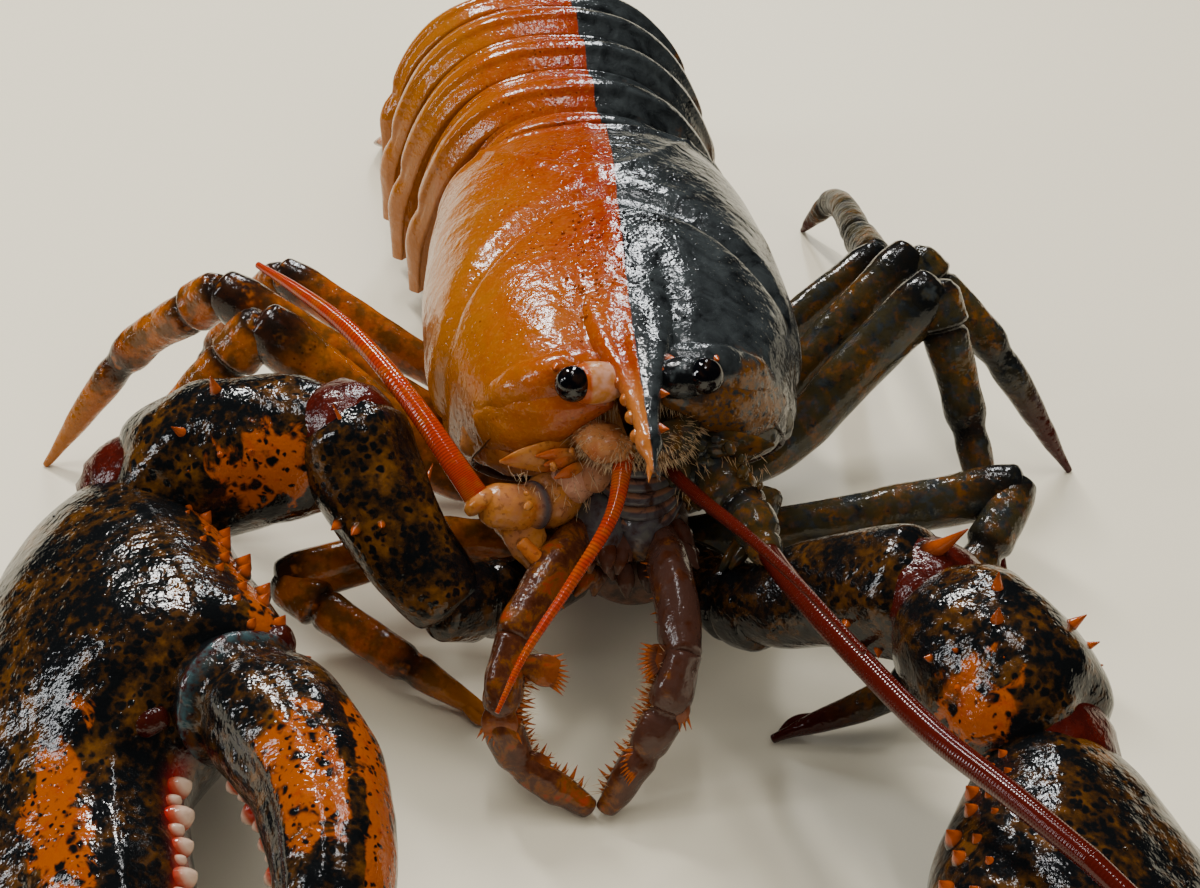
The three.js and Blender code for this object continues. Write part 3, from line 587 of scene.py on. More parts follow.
def colours():
    return bpy.context.scene.lobster_colours


def sizes():
    return bpy.context.scene.lobster_sizes


def rgb(name):
    return tuple(getattr(colours(), name))


def orange_shell(f, place, redness):
    """Orange shell: amber where redness is low, red where it is high, with fine dark red specks."""
    tone = f.noise(place, 0.07, 3.0) * 0.55 + f.noise(place, 0.45, 3.0) * 0.4 + redness - 0.1
    base = f.ramp(tone, (0.2, rgb("amber")), (0.5, rgb("orange")), (0.85, rgb("red_orange")))
    specks = 1 - f.cells(place, 0.9).above(0.22, 0.08)
    patchy = (f.noise(place, 0.12, 2.0) + redness * 0.4).above(0.6, 0.1)
    spotted = f.mix(specks * patchy * 0.8, base, rgb("dark_red"))
    return f.mix(f.noise(place, 1.4, 2.0).above(0.6, 0.08) * 0.3, spotted, rgb("pale_orange"))


def black_shell(f, place, brown_share):
    """Near-black shell with grey streaks, and ochre where brown_share is high. Its greys are lifted bluish as
    painted sheen, for the sky's reflection.
    """
    streak = f.noise(place, 0.22, 4.0, 0.6, 0.6)
    base = f.ramp(
        streak, (0.3, rgb("black")), (0.48, rgb("charcoal")), (0.72, rgb("slate_sheen")), (0.92, rgb("grey_brown")),
    )
    blotch = (f.noise(place, 0.14, 3.0, 0.6, 0.4) + brown_share).above(0.68, 0.09)
    fine = f.noise(place, 0.9, 2.0).above(0.42, 0.12)
    return f.mix(blotch * fine, base, rgb("ochre"))


def pitted(f, place, scale=1.0, wave=0.12):
    """The pits and low waves that break up the gloss of wet shell."""
    pits = f.cells(place, scale).above(0.16, 0.14)
    ripple = f.noise(place, 0.55, 2.0, 0.5)
    return pits * 0.25 + f.noise(place, wave, 2.0) * 2.4 + ripple * 1.2 + f.noise(place, 1.8, 2.0) * 0.26


def two_tone_finish(name):
    """Shell that is orange right of the midline and black left of it, with a sharp edge between."""
    f = Finish(name)
    place = f.place()
    x, y, z = f.split(place)
    seam = y.above(70, 48) * 4.0 - y.above(206, 10) * (4.0 - FAN_SIDE)
    edge = x - seam + f.noise(place, 0.35, 2.0) * 0.5 - 0.25
    black = edge.above(0.0, 0.16)
    orange = orange_shell(f, place, (x + 26) * 0.02 - 0.12)
    low = (1 - z.above(34, 8)) * (1 - y.above(204, 6))
    orange = f.mix(low * (1 - y.above(114, 6)) * 0.5, orange, rgb("flesh"))
    beak = (1 - y.above(21, 6)) * (1 - f.mark("tip").above(0.2, 0.2))
    orange = f.mix(beak * 0.65, orange, rgb("pale_orange"))
    front = 1 - y.above(34, 7)
    brown = (1 - z.above(44, 14)) * 0.22 + front * (1 - z.above(59.5, 2)) * 0.31 - 0.08
    dark = black_shell(f, place, brown)
    dark = f.mix(low * 0.4, dark, rgb("ochre"))
    colour = f.mix(black, orange, dark)
    # Painted shade: the lips that turn in under the shell's front edge take the dark shadowed mouth colour.
    colour = f.mix(f.mark("inner").above(0.5, 0.3) * 0.8, colour, rgb("jaw_dark"))
    colour = f.mix(f.mark("tip").above(0.25, 0.25), colour, rgb("spine"))
    rough = f.noise(place, 0.3, 2.0) * 0.16 + 0.08
    return f.done(colour, rough, pitted(f, place), 0.00019, IOR=1.45)


def limb_finish(name, dark, gloss=0.5):
    """Leg shell, banded with black at each joint, and duller where gloss is low."""
    f = Finish(name)
    place = f.place()
    along = f.mark("along")
    if dark:
        base = black_shell(f, place, 0.16)
        base = f.mix(f.noise(place, 0.5, 3.0).above(0.47, 0.1) * 0.75, base, rgb("olive"))
    else:
        base = orange_shell(f, place, 0.02)
        base = f.mix(f.noise(place, 0.3, 3.0).above(0.5, 0.12) * 0.7, base, rgb("olive"))
    band = f.mark("band") * f.noise(place, 0.4, 2.0).above(0.36, 0.1)
    colour = f.mix(band * 0.92, base, rgb("black"))
    foot = "joint_red" if dark else "amber"
    colour = f.mix(along.above(0.84, 0.08) * f.mark("foot"), colour, rgb(foot))
    colour = f.mix(f.mark("tip").above(0.3, 0.3), colour, rgb("spine"))
    rough = f.noise(place, 0.4, 2.0) * 0.14 + 0.08
    worn = f.mark("foot") * 0.9 + 1
    return f.done(
        colour, rough, pitted(f, place, 0.9, 0.2) * worn, 0.00013, IOR=1.38, Specular_IOR_Level=gloss,
    )


def mouth_leg_finish(name):
    """Mouth legs and hanging face pieces: dark red-brown with orange edges."""
    f = Finish(name)
    place = f.place()
    x, _, _ = f.split(place)
    right = 1 - x.above(-6, 6)
    base = f.ramp(
        f.noise(place, 0.3, 4.0, 0.65, 0.4) + right * 0.1 - 0.045,
        (0.44, rgb("black")), (0.55, rgb("jaw_dark")), (0.63, rgb("ochre")), (0.75, rgb("red_orange")),
    )
    base = f.mix(f.noise(place, 0.24, 2.0).above(0.42, 0.06) * (1 - right) * 0.85, base, rgb("charcoal"))
    colour = f.mix(f.mark("tip").above(0.3, 0.3), base, rgb("pale_orange"))
    colour = f.mix(f.mark("comb").above(0.1, 0.2), colour, rgb("orange"))
    return f.done(colour, 0.2, pitted(f, place, 0.9, 0.2), 0.00018, IOR=1.42)


def face_finish(name):
    """Soft pale parts of the right half of the face, flushed red in places."""
    f = Finish(name)
    place = f.place()
    base = f.ramp(
        f.noise(place, 0.22, 3.0, 0.6, 0.3), (0.3, rgb("flesh")), (0.5, rgb("pale_orange")), (0.72, rgb("orange")),
    )
    colour = f.mix(f.mark("band"), base, rgb("grey_purple"))
    colour = f.mix(f.mark("pale") * 0.8, colour, rgb("eye_cup"))
    colour = f.mix(f.mark("flush"), colour, rgb("spine"))
    colour = f.mix(f.noise(place, 1.1, 2.0).above(0.62, 0.06) * 0.4, colour, rgb("dark_red"))
    return f.done(colour, 0.22, pitted(f, place, 0.8, 0.25), 0.00016, IOR=1.4)


def plate_finish(name):
    """Grey-purple mouth plates with pale worn rims, and painted shade on the parts low in the mouth."""
    f = Finish(name)
    place = f.place()
    shade = f.noise(place, 0.35, 3.0, 0.6, 0.5)
    colour = f.ramp(shade, (0.34, rgb("jaw_dark")), (0.5, rgb("grey_purple")), (0.7, rgb("plate_grey")))
    colour = f.mix(f.mark("rim").above(0.5, 0.3) * shade.above(0.45, 0.1) * 0.6, colour, rgb("flesh"))
    # Painted shade: below about 31.5 mm high the jaws and plates take the dark shadowed mouth colour, with ochre
    # bits.
    _, _, z = f.split(place)
    low = 1 - z.above(31.5, 2.5)
    deep = f.mix(f.noise(place, 0.5, 2.0).above(0.6, 0.08), rgb("jaw_dark"), rgb("ochre"))
    colour = f.mix(low, colour, deep)
    return f.done(colour, 0.2, pitted(f, place, 0.8, 0.2), 0.00016, IOR=1.4)


def claw_finish(name):
    """Dark mottled claw shell with bright orange fields full of black dots, and white teeth."""
    f = Finish(name)
    place = f.place()
    mottle = f.noise(place, 0.6, 3.0, 0.6, 0.15)
    uneven = f.stir(place, 0.5, 1.8)
    cloud = f.noise(place, 0.13, 3.0, 0.6) * 0.6 + mottle * 0.4
    base = f.ramp(cloud, (0.45, rgb("black")), (0.53, rgb("claw_brown")), (0.67, rgb("ochre")))
    freckles = 1 - f.cells(uneven, 0.6).above(0.42, 0.12)
    base = f.mix(freckles * mottle.above(0.4, 0.08), base, rgb("black"))
    field = (f.noise(place, 0.17, 4.0, 0.6, 1.0) * 0.8 + f.mark("bright")).above(0.79, 0.05)
    blots = 1 - f.cells(uneven, 0.34).above(0.36, 0.09)
    dots = 1 - f.cells(uneven, 0.75).above(0.3, 0.1)
    blots = blots * f.noise(place, 0.2, 2.0).above(0.45, 0.05)
    dots = dots * f.noise(place, 0.4, 2.0).above(0.44, 0.05)
    spots = blots.larger(dots)
    bright = f.mix(spots, f.mix(mottle.above(0.6, 0.1) * 0.5, rgb("orange"), rgb("red_orange")), rgb("black"))
    colour = f.mix(field, base, bright)
    tip = f.mark("tip")
    knob = f.mix(tip.above(0.8, 0.2) * 0.5, rgb("spine"), rgb("dark_red"))
    colour = f.mix(tip.above(0.32, 0.22), colour, knob)
    colour = f.mix(f.mark("gum"), colour, rgb("gum"))
    tooth = f.mark("tooth")
    white = f.ramp(tooth, (0.12, rgb("gum")), (0.4, rgb("gum_pink")), (0.72, rgb("tooth")))
    colour = f.mix(tooth.above(0.02, 0.02), colour, white)
    colour = f.mix(f.mark("gum_dark") * 0.9, colour, rgb("joint_red"))
    colour = f.mix(f.mark("skin"), colour, f.mix(mottle.above(0.5, 0.15), rgb("blue_grey"), rgb("joint_red")))
    rough = mottle * 0.12 + 0.07
    return f.done(colour, rough, pitted(f, place, 0.75, 0.1), 0.00021, IOR=1.45)


def feeler_finish(name, dark):
    """Feelers in close rings, darker between them, clouded with a second colour."""
    f = Finish(name)
    place = f.place()
    rings = (f.mark("reach") * (TURN / sizes().feeler_rings)).sine()
    shade = f.noise(place, 0.3, 2.0)
    pair = ("feeler_dark", "dark_red") if dark else ("feeler_red", "spine")
    colour = f.mix(shade.above(0.55, 0.12), rgb(pair[0]), rgb(pair[1]))
    colour = f.mix((1 - rings.above(-0.2, 0.6)) * 0.45, colour, rgb("dark_red"))
    return f.done(colour, 0.13, rings * 0.5, 0.00006, IOR=1.42)


def soft_finish(name, first, second, rough=0.35):
    """Skin and underside shell, clouded in two colours."""
    f = Finish(name)
    place = f.place()
    colour = f.mix(f.noise(place, 0.5, 3.0).above(0.5, 0.18), rgb(first), rgb(second))
    return f.done(colour, rough, f.noise(place, 0.8, 3.0), 0.0003)


def stalk_finish(name):
    """Eyestalks: pale with an orange rim on the right, near black on the left."""
    f = Finish(name)
    place = f.place()
    x, _, _ = f.split(place)
    left = x.above(0, 0.2)
    pale = f.mix(f.noise(place, 0.5, 2.0).above(0.5, 0.15), rgb("eye_cup"), rgb("pale_orange"))
    dark = f.mix(f.noise(place, 0.4, 2.0).above(0.55, 0.1), rgb("black"), rgb("slate_sheen"))
    rim = f.mark("along").above(0.87, 0.04)
    colour = f.mix(left, f.mix(rim, pale, rgb("spine")), dark)
    return f.done(colour, 0.2, f.noise(place, 1.2, 2.0), 0.00012)


def eye_finish(name):
    """Eyes: glossy black, with the finest facets."""
    f = Finish(name)
    place = f.place()
    colour = f.mix(f.noise(place, 0.6, 1.0).above(0.62, 0.1), rgb("eye_black"), rgb("eye_brown"))
    return f.done(colour, 0.05, f.cells(place, 5.0), 0.00001, IOR=1.6)


def hair_finish(name):
    """Hairs, lighter towards their tips."""
    f = Finish(name)
    colour = f.ramp(f.mark("along"), (0.0, rgb("hair_root")), (0.9, rgb("hair_tip")))
    return f.done(colour, 0.45)


FINISHES = {
    "two_tone": two_tone_finish,
    "claw": claw_finish,
    "leg_orange": lambda n: limb_finish(n, False),
    "leg_dark": lambda n: limb_finish(n, True),
    "leg_dull": lambda n: limb_finish(n, True, 0.02),
    "mouth_leg": mouth_leg_finish,
    "face": face_finish,
    "face_dark": lambda n: limb_finish(n, True),
    "mouth_plate": plate_finish,
    "feeler_red": lambda n: feeler_finish(n, False),
    "feeler_dark": lambda n: feeler_finish(n, True),
    # Painted shade: the underside is kept dark and clouded with the shadowed mouth colour, for the shade under the
    # body.
    "belly": lambda n: soft_finish(n, "belly", "jaw_dark"),
    "joint_skin": lambda n: soft_finish(n, "blue_grey", "joint_red", 0.22),
    "red_skin": lambda n: soft_finish(n, "joint_red", "dark_red", 0.16),
    "eyestalk": stalk_finish,
    "eye": eye_finish,
    "hair": hair_finish,
}


def material(name):
    full = "lobster_" + name
    return bpy.data.materials.get(full) or FINISHES[name](full)


# Pieces keep this far above the floor, in millimetres.
FLOOR_GAP = 0.02


def piece(name, surface, finish, nodes=(), lids=(), sharp=None):
    """Puts a surface in the scene, riding on the lobster in place of its solids."""
    points, faces, marks = surface
    mesh = bpy.data.meshes.new(name)
    points = np.maximum(points, (-np.inf, -np.inf, FLOOR_GAP))
    mesh.from_pydata(
        ((points + SHIFT) * MM).tolist(), [], [face[:3] if face[3] < 0 else face for face in faces.tolist()],
    )
    mesh.update()
    for key, values in marks.items():
        layer = mesh.attributes.new(key, "FLOAT", "POINT")
        layer.data.foreach_set("value", np.asarray(values, np.float32))
    mesh.shade_smooth()
    if sharp:
        mesh.set_sharp_from_angle(angle=math.radians(sharp))
    made = bpy.data.objects.new(name, mesh)
    bpy.context.scene.collection.objects.link(made)
    mesh.materials.append(material(finish))
    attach(made, "root")
    if nodes:
        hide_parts(*nodes)
    if lids:
        close_lids(mesh, lids)


def close_lids(mesh, lids):
    """Adds faces over a mesh's open ends, each from the numbers of its points."""
    work = bmesh.new()
    work.from_mesh(mesh)
    work.verts.ensure_lookup_table()
    for lid in lids:
        work.faces.new([work.verts[i] for i in lid])
    bmesh.ops.recalc_face_normals(work, faces=work.faces)
    work.to_mesh(mesh)
    work.free()


# Carapace.

SHELL_SQUARENESS = 0.88
GROOVE_DEPTH, GROOVE_WIDTH, GROOVE_SLANT = 1.6, 3.2, 30
CORE_Z = 44
# Rings that turn the shell's ends inwards: [share of the way out to the edge, distance behind the edge].
FRONT_LIPS = [[0.02, 12.0], [0.3, 10.5], [0.62, 7.0], [0.86, 2.6], [0.93, 0.9], [0.965, 0.25], [0.985, -0.1]]
REAR_LIPS = [[0.985, 0.4], [0.95, 0.3], [0.5, -1], [0.05, -2]]

BEAK = [(0, 46, 62.5), (0, 32, 62), (0, 18, 60.5), (0, 5, 57.6)]
BEAK_ROWS = [
    [0, 9, 3.5], [0.35, 6.2, 3.4], [0.55, 3.6, 3], [0.7, 2.3, 2.3], [0.8, 1.9, 1.9], [0.87, 2.1, 2.1],
    [0.93, 1.1, 1.2], [1, 0.6, 0.6],
]
# The beak's teeth [y, distance from the midline, z]: blunt on the right edge, sharp on the left.
BLUNT_TEETH = [[12.5, 1.5, 58.8], [16, 1.9, 60], [19.5, 2.3, 60.9], [23, 3, 61.8], [26.5, 4, 62.4]]
SHARP_TEETH = [[13.5, 1.6, 59.4], [20.7, 2.6, 61], [24.7, 3.7, 62.4], [27, 4.8, 63]]
GRANULES = 170

# The fold below each eye, the brow above it and the plate between the legs.
FOLD = [(23.5, 34, 46.5), (17.5, 29.4, 51), (11, 27, 54.8), (5, 26.4, 57.2)]
FOLD_ROWS = [[0, 2.4, 4.4], [0.3, 3.2, 5.8], [0.65, 3, 4.4], [1, 1.8, 2.4]]
BROW = [(5, 31, 59), (11.5, 29.8, 59), (17.5, 32, 55), (22, 35, 50)]
BROW_ROWS = [[0, 3.6, 3.6], [0.4, 4.3, 4.4], [0.7, 4.2, 4.8], [1, 3, 4]]
CHEST = [(0, 24, 21), (0, 50, 16.5), (0, 85, 15), (0, 114, 17)]
CHEST_ROWS = [[0, 7, 5], [0.2, 11.5, 7], [0.7, 11.5, 7], [1, 9, 5.5]]


def shell_point(y, angle):
    """Points of the smooth shell with its neck groove, at y and at an angle up from the left side."""
    width, top, bottom = (row.reshape(y.shape) for row in read(CARAPACE, y.ravel()))
    middle = bottom + (top - bottom) * 0.42
    lift, reach = np.sin(angle), np.cos(angle)
    height = np.where(lift > 0, top - middle, middle - bottom)
    groove = hump(y, GROOVE_TOP_Y - GROOVE_SLANT * np.abs(reach) ** 1.6, GROOVE_WIDTH)
    dip = np.where(lift > -0.35, GROOVE_DEPTH * groove, 0)
    x = squared(reach, SHELL_SQUARENESS) * (width - dip)
    z = middle + squared(lift, SHELL_SQUARENESS) * (height - dip)
    return np.stack([x, np.broadcast_to(y, x.shape), z], axis=-1)


def carapace_surface():
    sides, rings = 220, 190
    angle = np.arange(sides) * TURN / sides
    edge = read(FRONT_EDGE, np.sin(angle))[0]
    y = edge + (CARAPACE_REAR - edge) * np.linspace(0, 1, rings)[:, None]
    body = shell_point(y, np.broadcast_to(angle, y.shape))
    front = np.stack([np.zeros(sides), edge, np.full(sides, CORE_Z)], axis=-1)
    lips = []
    for share, back in FRONT_LIPS:
        lip = front + (body[0] - front) * share + vec(0, back, 0)
        lip[:, 1] = np.minimum(lip[:, 1], FACE_Y + 2.0 * share + (edge - 27) * share)
        lips.append(lip)
    rear = vec(0, CARAPACE_REAR, CORE_Z)
    rear_lips = [rear + (body[-1] - rear) * share + vec(0, back, 0) for share, back in REAR_LIPS]
    grid = np.concatenate([lips, body, rear_lips])
    x, y, z = np.moveaxis(grid, -1, 0)
    rim = hump(y, 114.6, 1.3) * 0.7 - hump(y, 111.6, 1.1) * 0.7
    furrow = -0.45 * hump(x, 0, 0.9) * ease(55, 60, y) * (z > 50)
    keels = 0.7 * hump(np.abs(x), 7.5, 2.2) * (1 - ease(44, 62, y)) * (z > 55)
    cheeks = 1.1 * hump(y, 40, 8) * hump(z, 47, 8)
    heart_line = -0.5 * hump(y, 88 + 0.06 * x * x, 2.0) * (z > 48)
    waves = grain(grid, 9.0, 5) * 0.28 + grain(grid, 3.2, 6) * 0.09
    # The front lips stay smooth and are marked inner, which the shell finish paints dark as painted shade.
    shaded_lips = np.zeros(grid.shape[:2])
    shaded_lips[:len(FRONT_LIPS)] = 1
    height = (rim + furrow + keels + cheeks + heart_line + waves) * (1 - shaded_lips)
    return raised(sheet(grid, inner=shaded_lips), np.append(height.reshape(-1), [0, 0]))


def beak_relief(t, angle):
    """A ridge along each upper edge of the beak and a trough between the two."""
    upper = np.sin(angle) > 0
    ridge = hump(np.abs(np.cos(angle)), 0.75, 0.22) * upper * 0.6
    trough = -0.8 * hump(np.cos(angle), 0, 0.3) * upper
    return (ridge + trough) * np.sin(math.pi * np.clip(t * 1.15, 0, 1))


def beak_surface():
    """The beak with its teeth, a spine over each eye, and fine granules beside the midline."""
    parts = [tube(BEAK, BEAK_ROWS, 60, 90, relief=beak_relief)]
    for y, out, z in BLUNT_TEETH:
        root = vec(-out, y, z)
        parts.append(spine(root, root + unit((-0.5, -0.6, 0.6)) * 1.3, 1.15, sides=14, blunt=True, mark="bead"))
    for y, out, z in SHARP_TEETH:
        root = vec(out, y, z)
        parts.append(spine(root, root + unit((0.8, -0.9, 0.5)) * 2.6, 1.15, sides=12))
    for side in (-1, 1):
        parts.append(spine((side * 0.5, 5.4, 57.4), (side * 0.9, 3.4, 56.6), 0.55, mark="bead"))
    for side in (-1, 1):
        root = vec(side * 12.5, 29, 61.5)
        parts.append(spine(root, root + unit((side * 0.25, -1, 0.5)) * 2.6, 1.4))
    draw = random.Random(21)
    for _ in range(GRANULES):
        x, y = draw.gauss(0, 4), draw.uniform(30, 70)
        angle = math.acos(np.clip(x / read(CARAPACE, y)[0, 0], -1, 1))
        root = shell_point(np.array([[y]]), np.array([[angle]]))[0, 0]
        size = draw.uniform(0.18, 0.36)
        parts.append(bead(root, vec(0, -0.35, 0.9) * size, size))
    return join(*parts)


class LOBSTER_OT_carapace(bpy.types.Operator):
    """Builds the shell over head and chest, with its beak and spines"""
    bl_idname = "lobster.carapace"
    bl_label = "Carapace"

    def execute(self, context):
        folds = []
        for side in (-1, 1):
            folds.append(lumpy(tube(mirrored(FOLD, side), FOLD_ROWS, 48, 50), (3.5, 51, 0.3)))
            folds.append(lumpy(tube(mirrored(BROW, side), BROW_ROWS, 40, 44), (3.0, 52, 0.35)))
        surface = join(carapace_surface(), beak_surface(), *folds)
        piece("carapace_shell", surface, "two_tone", ["carapace"])
        creases = lambda t, a: 0.8 * np.sin(t * 30) * (np.sin(a) < 0)
        piece("chest_plate", tube(CHEST, CHEST_ROWS, 48, 90, relief=creases), "belly", ["sternum"])
        return {"FINISHED"}


# Tail.

TAIL = Path(TAIL_BACK)
RING_GAP = 0.15
# The skin under the rings, then the fan: x from the middle of the telson, and the side blades mirrored.
SKIN_ROWS = [[0, 16, 8], [0.2, 21, 9.5], [0.6, 23, 9.5], [0.85, 19, 7], [1, 12, 5]]
TELSON = [(0, 213, 31.5), (0, 221, 21), (0, 230, 11), (0, 239, 1.4)]
TELSON_ROWS = [[0, 10, 5], [0.4, 12, 3.6], [0.8, 10, 2.4], [1, 7, 1.4]]
FAN_BLADES = {
    "inner": (
        [(13, 209, 28), (18, 217, 18), (22, 226, 9), (24, 236, 0.7)],
        [[0, 3.5, 2.8], [0.35, 7.5, 2.2], [0.75, 9.5, 1.6], [1, 6, 1]],
    ),
    "outer": (
        [(19, 204, 26), (26, 211, 16), (31, 219, 8), (33, 230, 0.6)],
        [[0, 3, 2.6], [0.35, 5.5, 2.4], [0.75, 8, 1.8], [1, 5, 1]],
    ),
}


def even(path, shares):
    """Curve positions for even shares of its length."""
    t = np.linspace(0, 1, 400)
    run = np.concatenate([[0], np.cumsum(np.linalg.norm(np.diff(path.at(t), axis=0), axis=1))])
    return np.interp(np.clip(shares, 0, 1) * run[-1], run, t)


def tail_point(share, x, depth):
    """The point at a share of the tail's back line, x beside it and depth below it."""
    shape = np.broadcast(share, x, depth).shape
    share, x, depth = (np.broadcast_to(a, shape).astype(float) for a in (share, x, depth))
    t = even(TAIL, share.ravel())
    way = TAIL.way(t)
    down = np.stack([np.zeros(len(way)), way[:, 2], -way[:, 1]], axis=-1)
    spot = TAIL.at(t) + down * depth.reshape(-1, 1)
    spot[:, 0] += x.ravel()
    return spot.reshape(*shape, 3)


def ring_surface(index):
    """One tail ring with its side plates, and the numbers of the points round its two open ends."""
    front, rear, width, deep = TAIL_RINGS[index]
    a = np.linspace(0, math.pi, 90)
    arch = np.stack([squared(np.cos(a), 0.8), np.sin(a) ** 0.9], axis=-1)
    b = np.linspace(math.pi, 0, 50)[1:-1]
    hollow = np.stack([np.cos(b) * 0.9, 0.05 + 0.26 * np.sin(b) ** 1.4], axis=-1)
    outline = np.vstack([arch, hollow])
    outer = np.arange(len(outline)) < len(arch)
    s = np.concatenate([[0, 0.004, 0.015, 0.03], np.linspace(0.05, 0.95, 30), [0.97, 0.985, 0.996, 1]])[:, None]
    u, h = outline.T[:, None]
    # The plates at the sides are narrower than the ring's back, and point down from its rear half.
    narrow = 0.62 * (1 - h) ** 1.8
    swell = 0.94 + 0.06 * np.sin(math.pi * np.minimum(s * 1.3, 1))
    gap = RING_GAP / TAIL.length()
    share = front + gap + (rear - front - 2 * gap) * (s + (0.6 - s) * narrow)
    grid = tail_point(share, u * width * swell, deep * (1 - h * swell))
    # A low smooth front third that the ring ahead slides over, a furrow down each side, and a rear rim.
    step = -0.9 * (1 - ease(0.2, 0.3, s)) * ease(0.25, 0.45, h)
    rim = 0.35 * hump(s, 0.955, 0.03) - 0.3 * hump(s, 0.88, 0.03)
    hinge = -0.8 * hump(h, 0.42, 0.045) * ease(0.15, 0.3, s)
    plate = 0.9 * hump(h, 0.26, 0.1) * np.sin(math.pi * np.clip(s, 0, 1))
    soft_ends = -0.55 * (np.exp(-s / 0.012) + np.exp(-(1 - s) / 0.012))
    waves = grain(grid, 8.0, 11 + index) * 0.22
    height = np.where(outer[None, :], step + rim + hinge + plate + waves, 0) + soft_ends
    points, faces, marks = sheet(grid, caps=False)
    count, last = len(outline), len(points) - 1
    lids = [list(range(count)), list(range(last, last - count, -1))]
    return raised((points, faces[:, ::-1], marks), height.reshape(-1)), lids


def ribs(count):
    """Fine ribs along a plate of the fan."""
    return lambda t, a: 0.3 * np.cos(np.cos(a) * count) * np.sin(math.pi * np.clip(t, 0.05, 1) ** 0.7)


class LOBSTER_OT_tail(bpy.types.Operator):
    """Builds the six rings of the tail with their swimming legs, and the fan"""
    bl_idname = "lobster.tail"
    bl_label = "Tail"

    def execute(self, context):
        for index in range(6):
            ring, lids = ring_surface(index)
            node = f"tail_ring_{index + 1}"
            piece(node + "_shell", ring, "two_tone", [node], lids, sharp=50)
            if 0 < index < 5:
                self.swimmerets(index)
        line = [tail_point(share, 0, 20 - 5 * share) for share in np.linspace(0.02, 0.97, 9)]
        skin = tube(line, SKIN_ROWS, 60, 90, relief=lambda t, a: 0.5 * np.sin(t * 60))
        piece("tail_skin", skin, "joint_skin")
        self.fan()
        return {"FINISHED"}

    def swimmerets(self, index):
        """A stem and two blades on each side, under one ring."""
        front, _, _, deep = TAIL_RINGS[index]
        share, depth = front + 0.04, deep * 0.72
        blades = []
        for side in (-1, 1):
            at = lambda along, x, down: tail_point(share + along, side * x, depth + down)
            blades.append(tube([at(0, 15, -6), at(0.01, 17, 3)], [[0, 2, 2], [1, 2, 1.6]], 12, 8))
            for lean in (-1.6, 1.6):
                blades.append(tube(
                    [at(0.005, 17, 1.5), at(0.04, 18 + lean, 5), at(0.075, 18.5 + lean * 1.6, 6)],
                    [[0, 1.6, 0.9], [0.5, 3.2, 0.6], [1, 1.2, 0.35]], 16, 14,
                ))
        piece(f"swimming_legs_{index + 1}", join(*blades), "belly")

    def fan(self):
        """The telson and the two blades on each side of it."""
        on_fan = lambda path, side: [(FAN_SIDE + side * x, y, z) for x, y, z in path]
        telson = tube(on_fan(TELSON, 1), TELSON_ROWS, 64, 50, relief=ribs(7))
        piece("telson_plate", telson, "two_tone", ["telson"])
        for name, side in SIDES:
            for blade, (path, rows) in FAN_BLADES.items():
                node = f"tail_fan_{blade}_{name}"
                surface = tube(on_fan(path, side), rows, 56, 44, relief=ribs(9))
                piece(node + "_blade", surface, LEG_FINISH[name], [node])


# Eyes and feelers.

STALK_ROWS = [[0, 2.6, 2.6], [0.45, 3.3, 3.2], [0.8, 3.5, 3.4], [1, 3.1, 3.1]]
EYE_RINGS, EYE_SIDES = 32, 48
ROOT_ROWS = [
    [0, 4.6, 4.6], [0.3, 4.9, 4.9], [0.46, 4.5, 4.5], [0.51, 3.5, 3.5], [0.55, 4.1, 4.1], [0.6, 3.9, 3.9],
    [0.63, 3.5, 3.5], [0.68, 3.8, 3.8], [0.92, 3.7, 3.7], [1, 3.0, 3.0],
]
COLLAR_ROWS = [[0, 3.0, 3.0], [0.6, 2.9, 2.9], [1, 2.2, 2.2]]
SCALE = [(9.5, 29, 44.5), (15.5, 25, 47), (22.3, 24, 47.3)]
SCALE_ROWS = [[0, 1.2, 2.6], [0.4, 1.0, 3.0], [0.75, 0.7, 2.0], [1, 0.2, 0.25]]
SHORT_FOOT_ROWS = [[0, 2.5, 2.5], [0.6, 2.2, 2.2], [0.7, 1.8, 1.8], [0.8, 2.2, 2.2], [1, 2.0, 2.0]]
ANTENNULE_ROWS = {
    "right": [[0, 1.8, 1.8], [0.1, 1.5, 1.5], [0.35, 1.05, 1.05], [0.7, 0.7, 0.7], [1, 0.35, 0.35]],
    "left": [[0, 1.4, 1.4], [0.15, 1.15, 1.15], [0.5, 1.05, 1.05], [1, 0.4, 0.4]],
}


class LOBSTER_OT_eyes(bpy.types.Operator):
    """Builds the eyes on their stalks"""
    bl_idname = "lobster.eyes"
    bl_label = "Eyes"

    def execute(self, context):
        for name, side in SIDES:
            centre = EYE * vec(side, 1, 1)
            back = vec(side * 4.8, EYE[1] + 4.4, EYE[2] - 3.4)
            line = [back, vec(side * 5.4, 25.2, 60.6), centre + (back - centre) * 0.2]
            stalk = tube(line, STALK_ROWS, 40, 36, bulge=0.25)
            piece(f"eyestalk_{name}_cup", stalk, "eyestalk", [f"eyestalk_{name}"])
            turn = np.linspace(0, TURN, EYE_SIDES, endpoint=False)[None, :]
            lift = np.linspace(0.05 - math.pi / 2, math.pi / 2 - 0.05, EYE_RINGS)[:, None]
            high = np.broadcast_to(np.sin(lift), (EYE_RINGS, EYE_SIDES))
            ball = np.stack([np.cos(lift) * np.cos(turn), np.cos(lift) * np.sin(turn), high], axis=-1)
            piece(f"eye_{name}_ball", sheet(ball * EYE_RADIUS + centre), "eye", [f"eye_{name}"])
        return {"FINISHED"}


def ringed(points, rows, sides=20):
    """A feeler with a shallow neck between every two of its rings."""
    path = Path(points)
    span, spacing = path.length(), sizes().feeler_rings
    necks = lambda t, a: 0.025 * np.sin(t * span * TURN / spacing)
    return tube(path, rows, sides, int(span / spacing * 5), bulge=0.3, relief=necks)


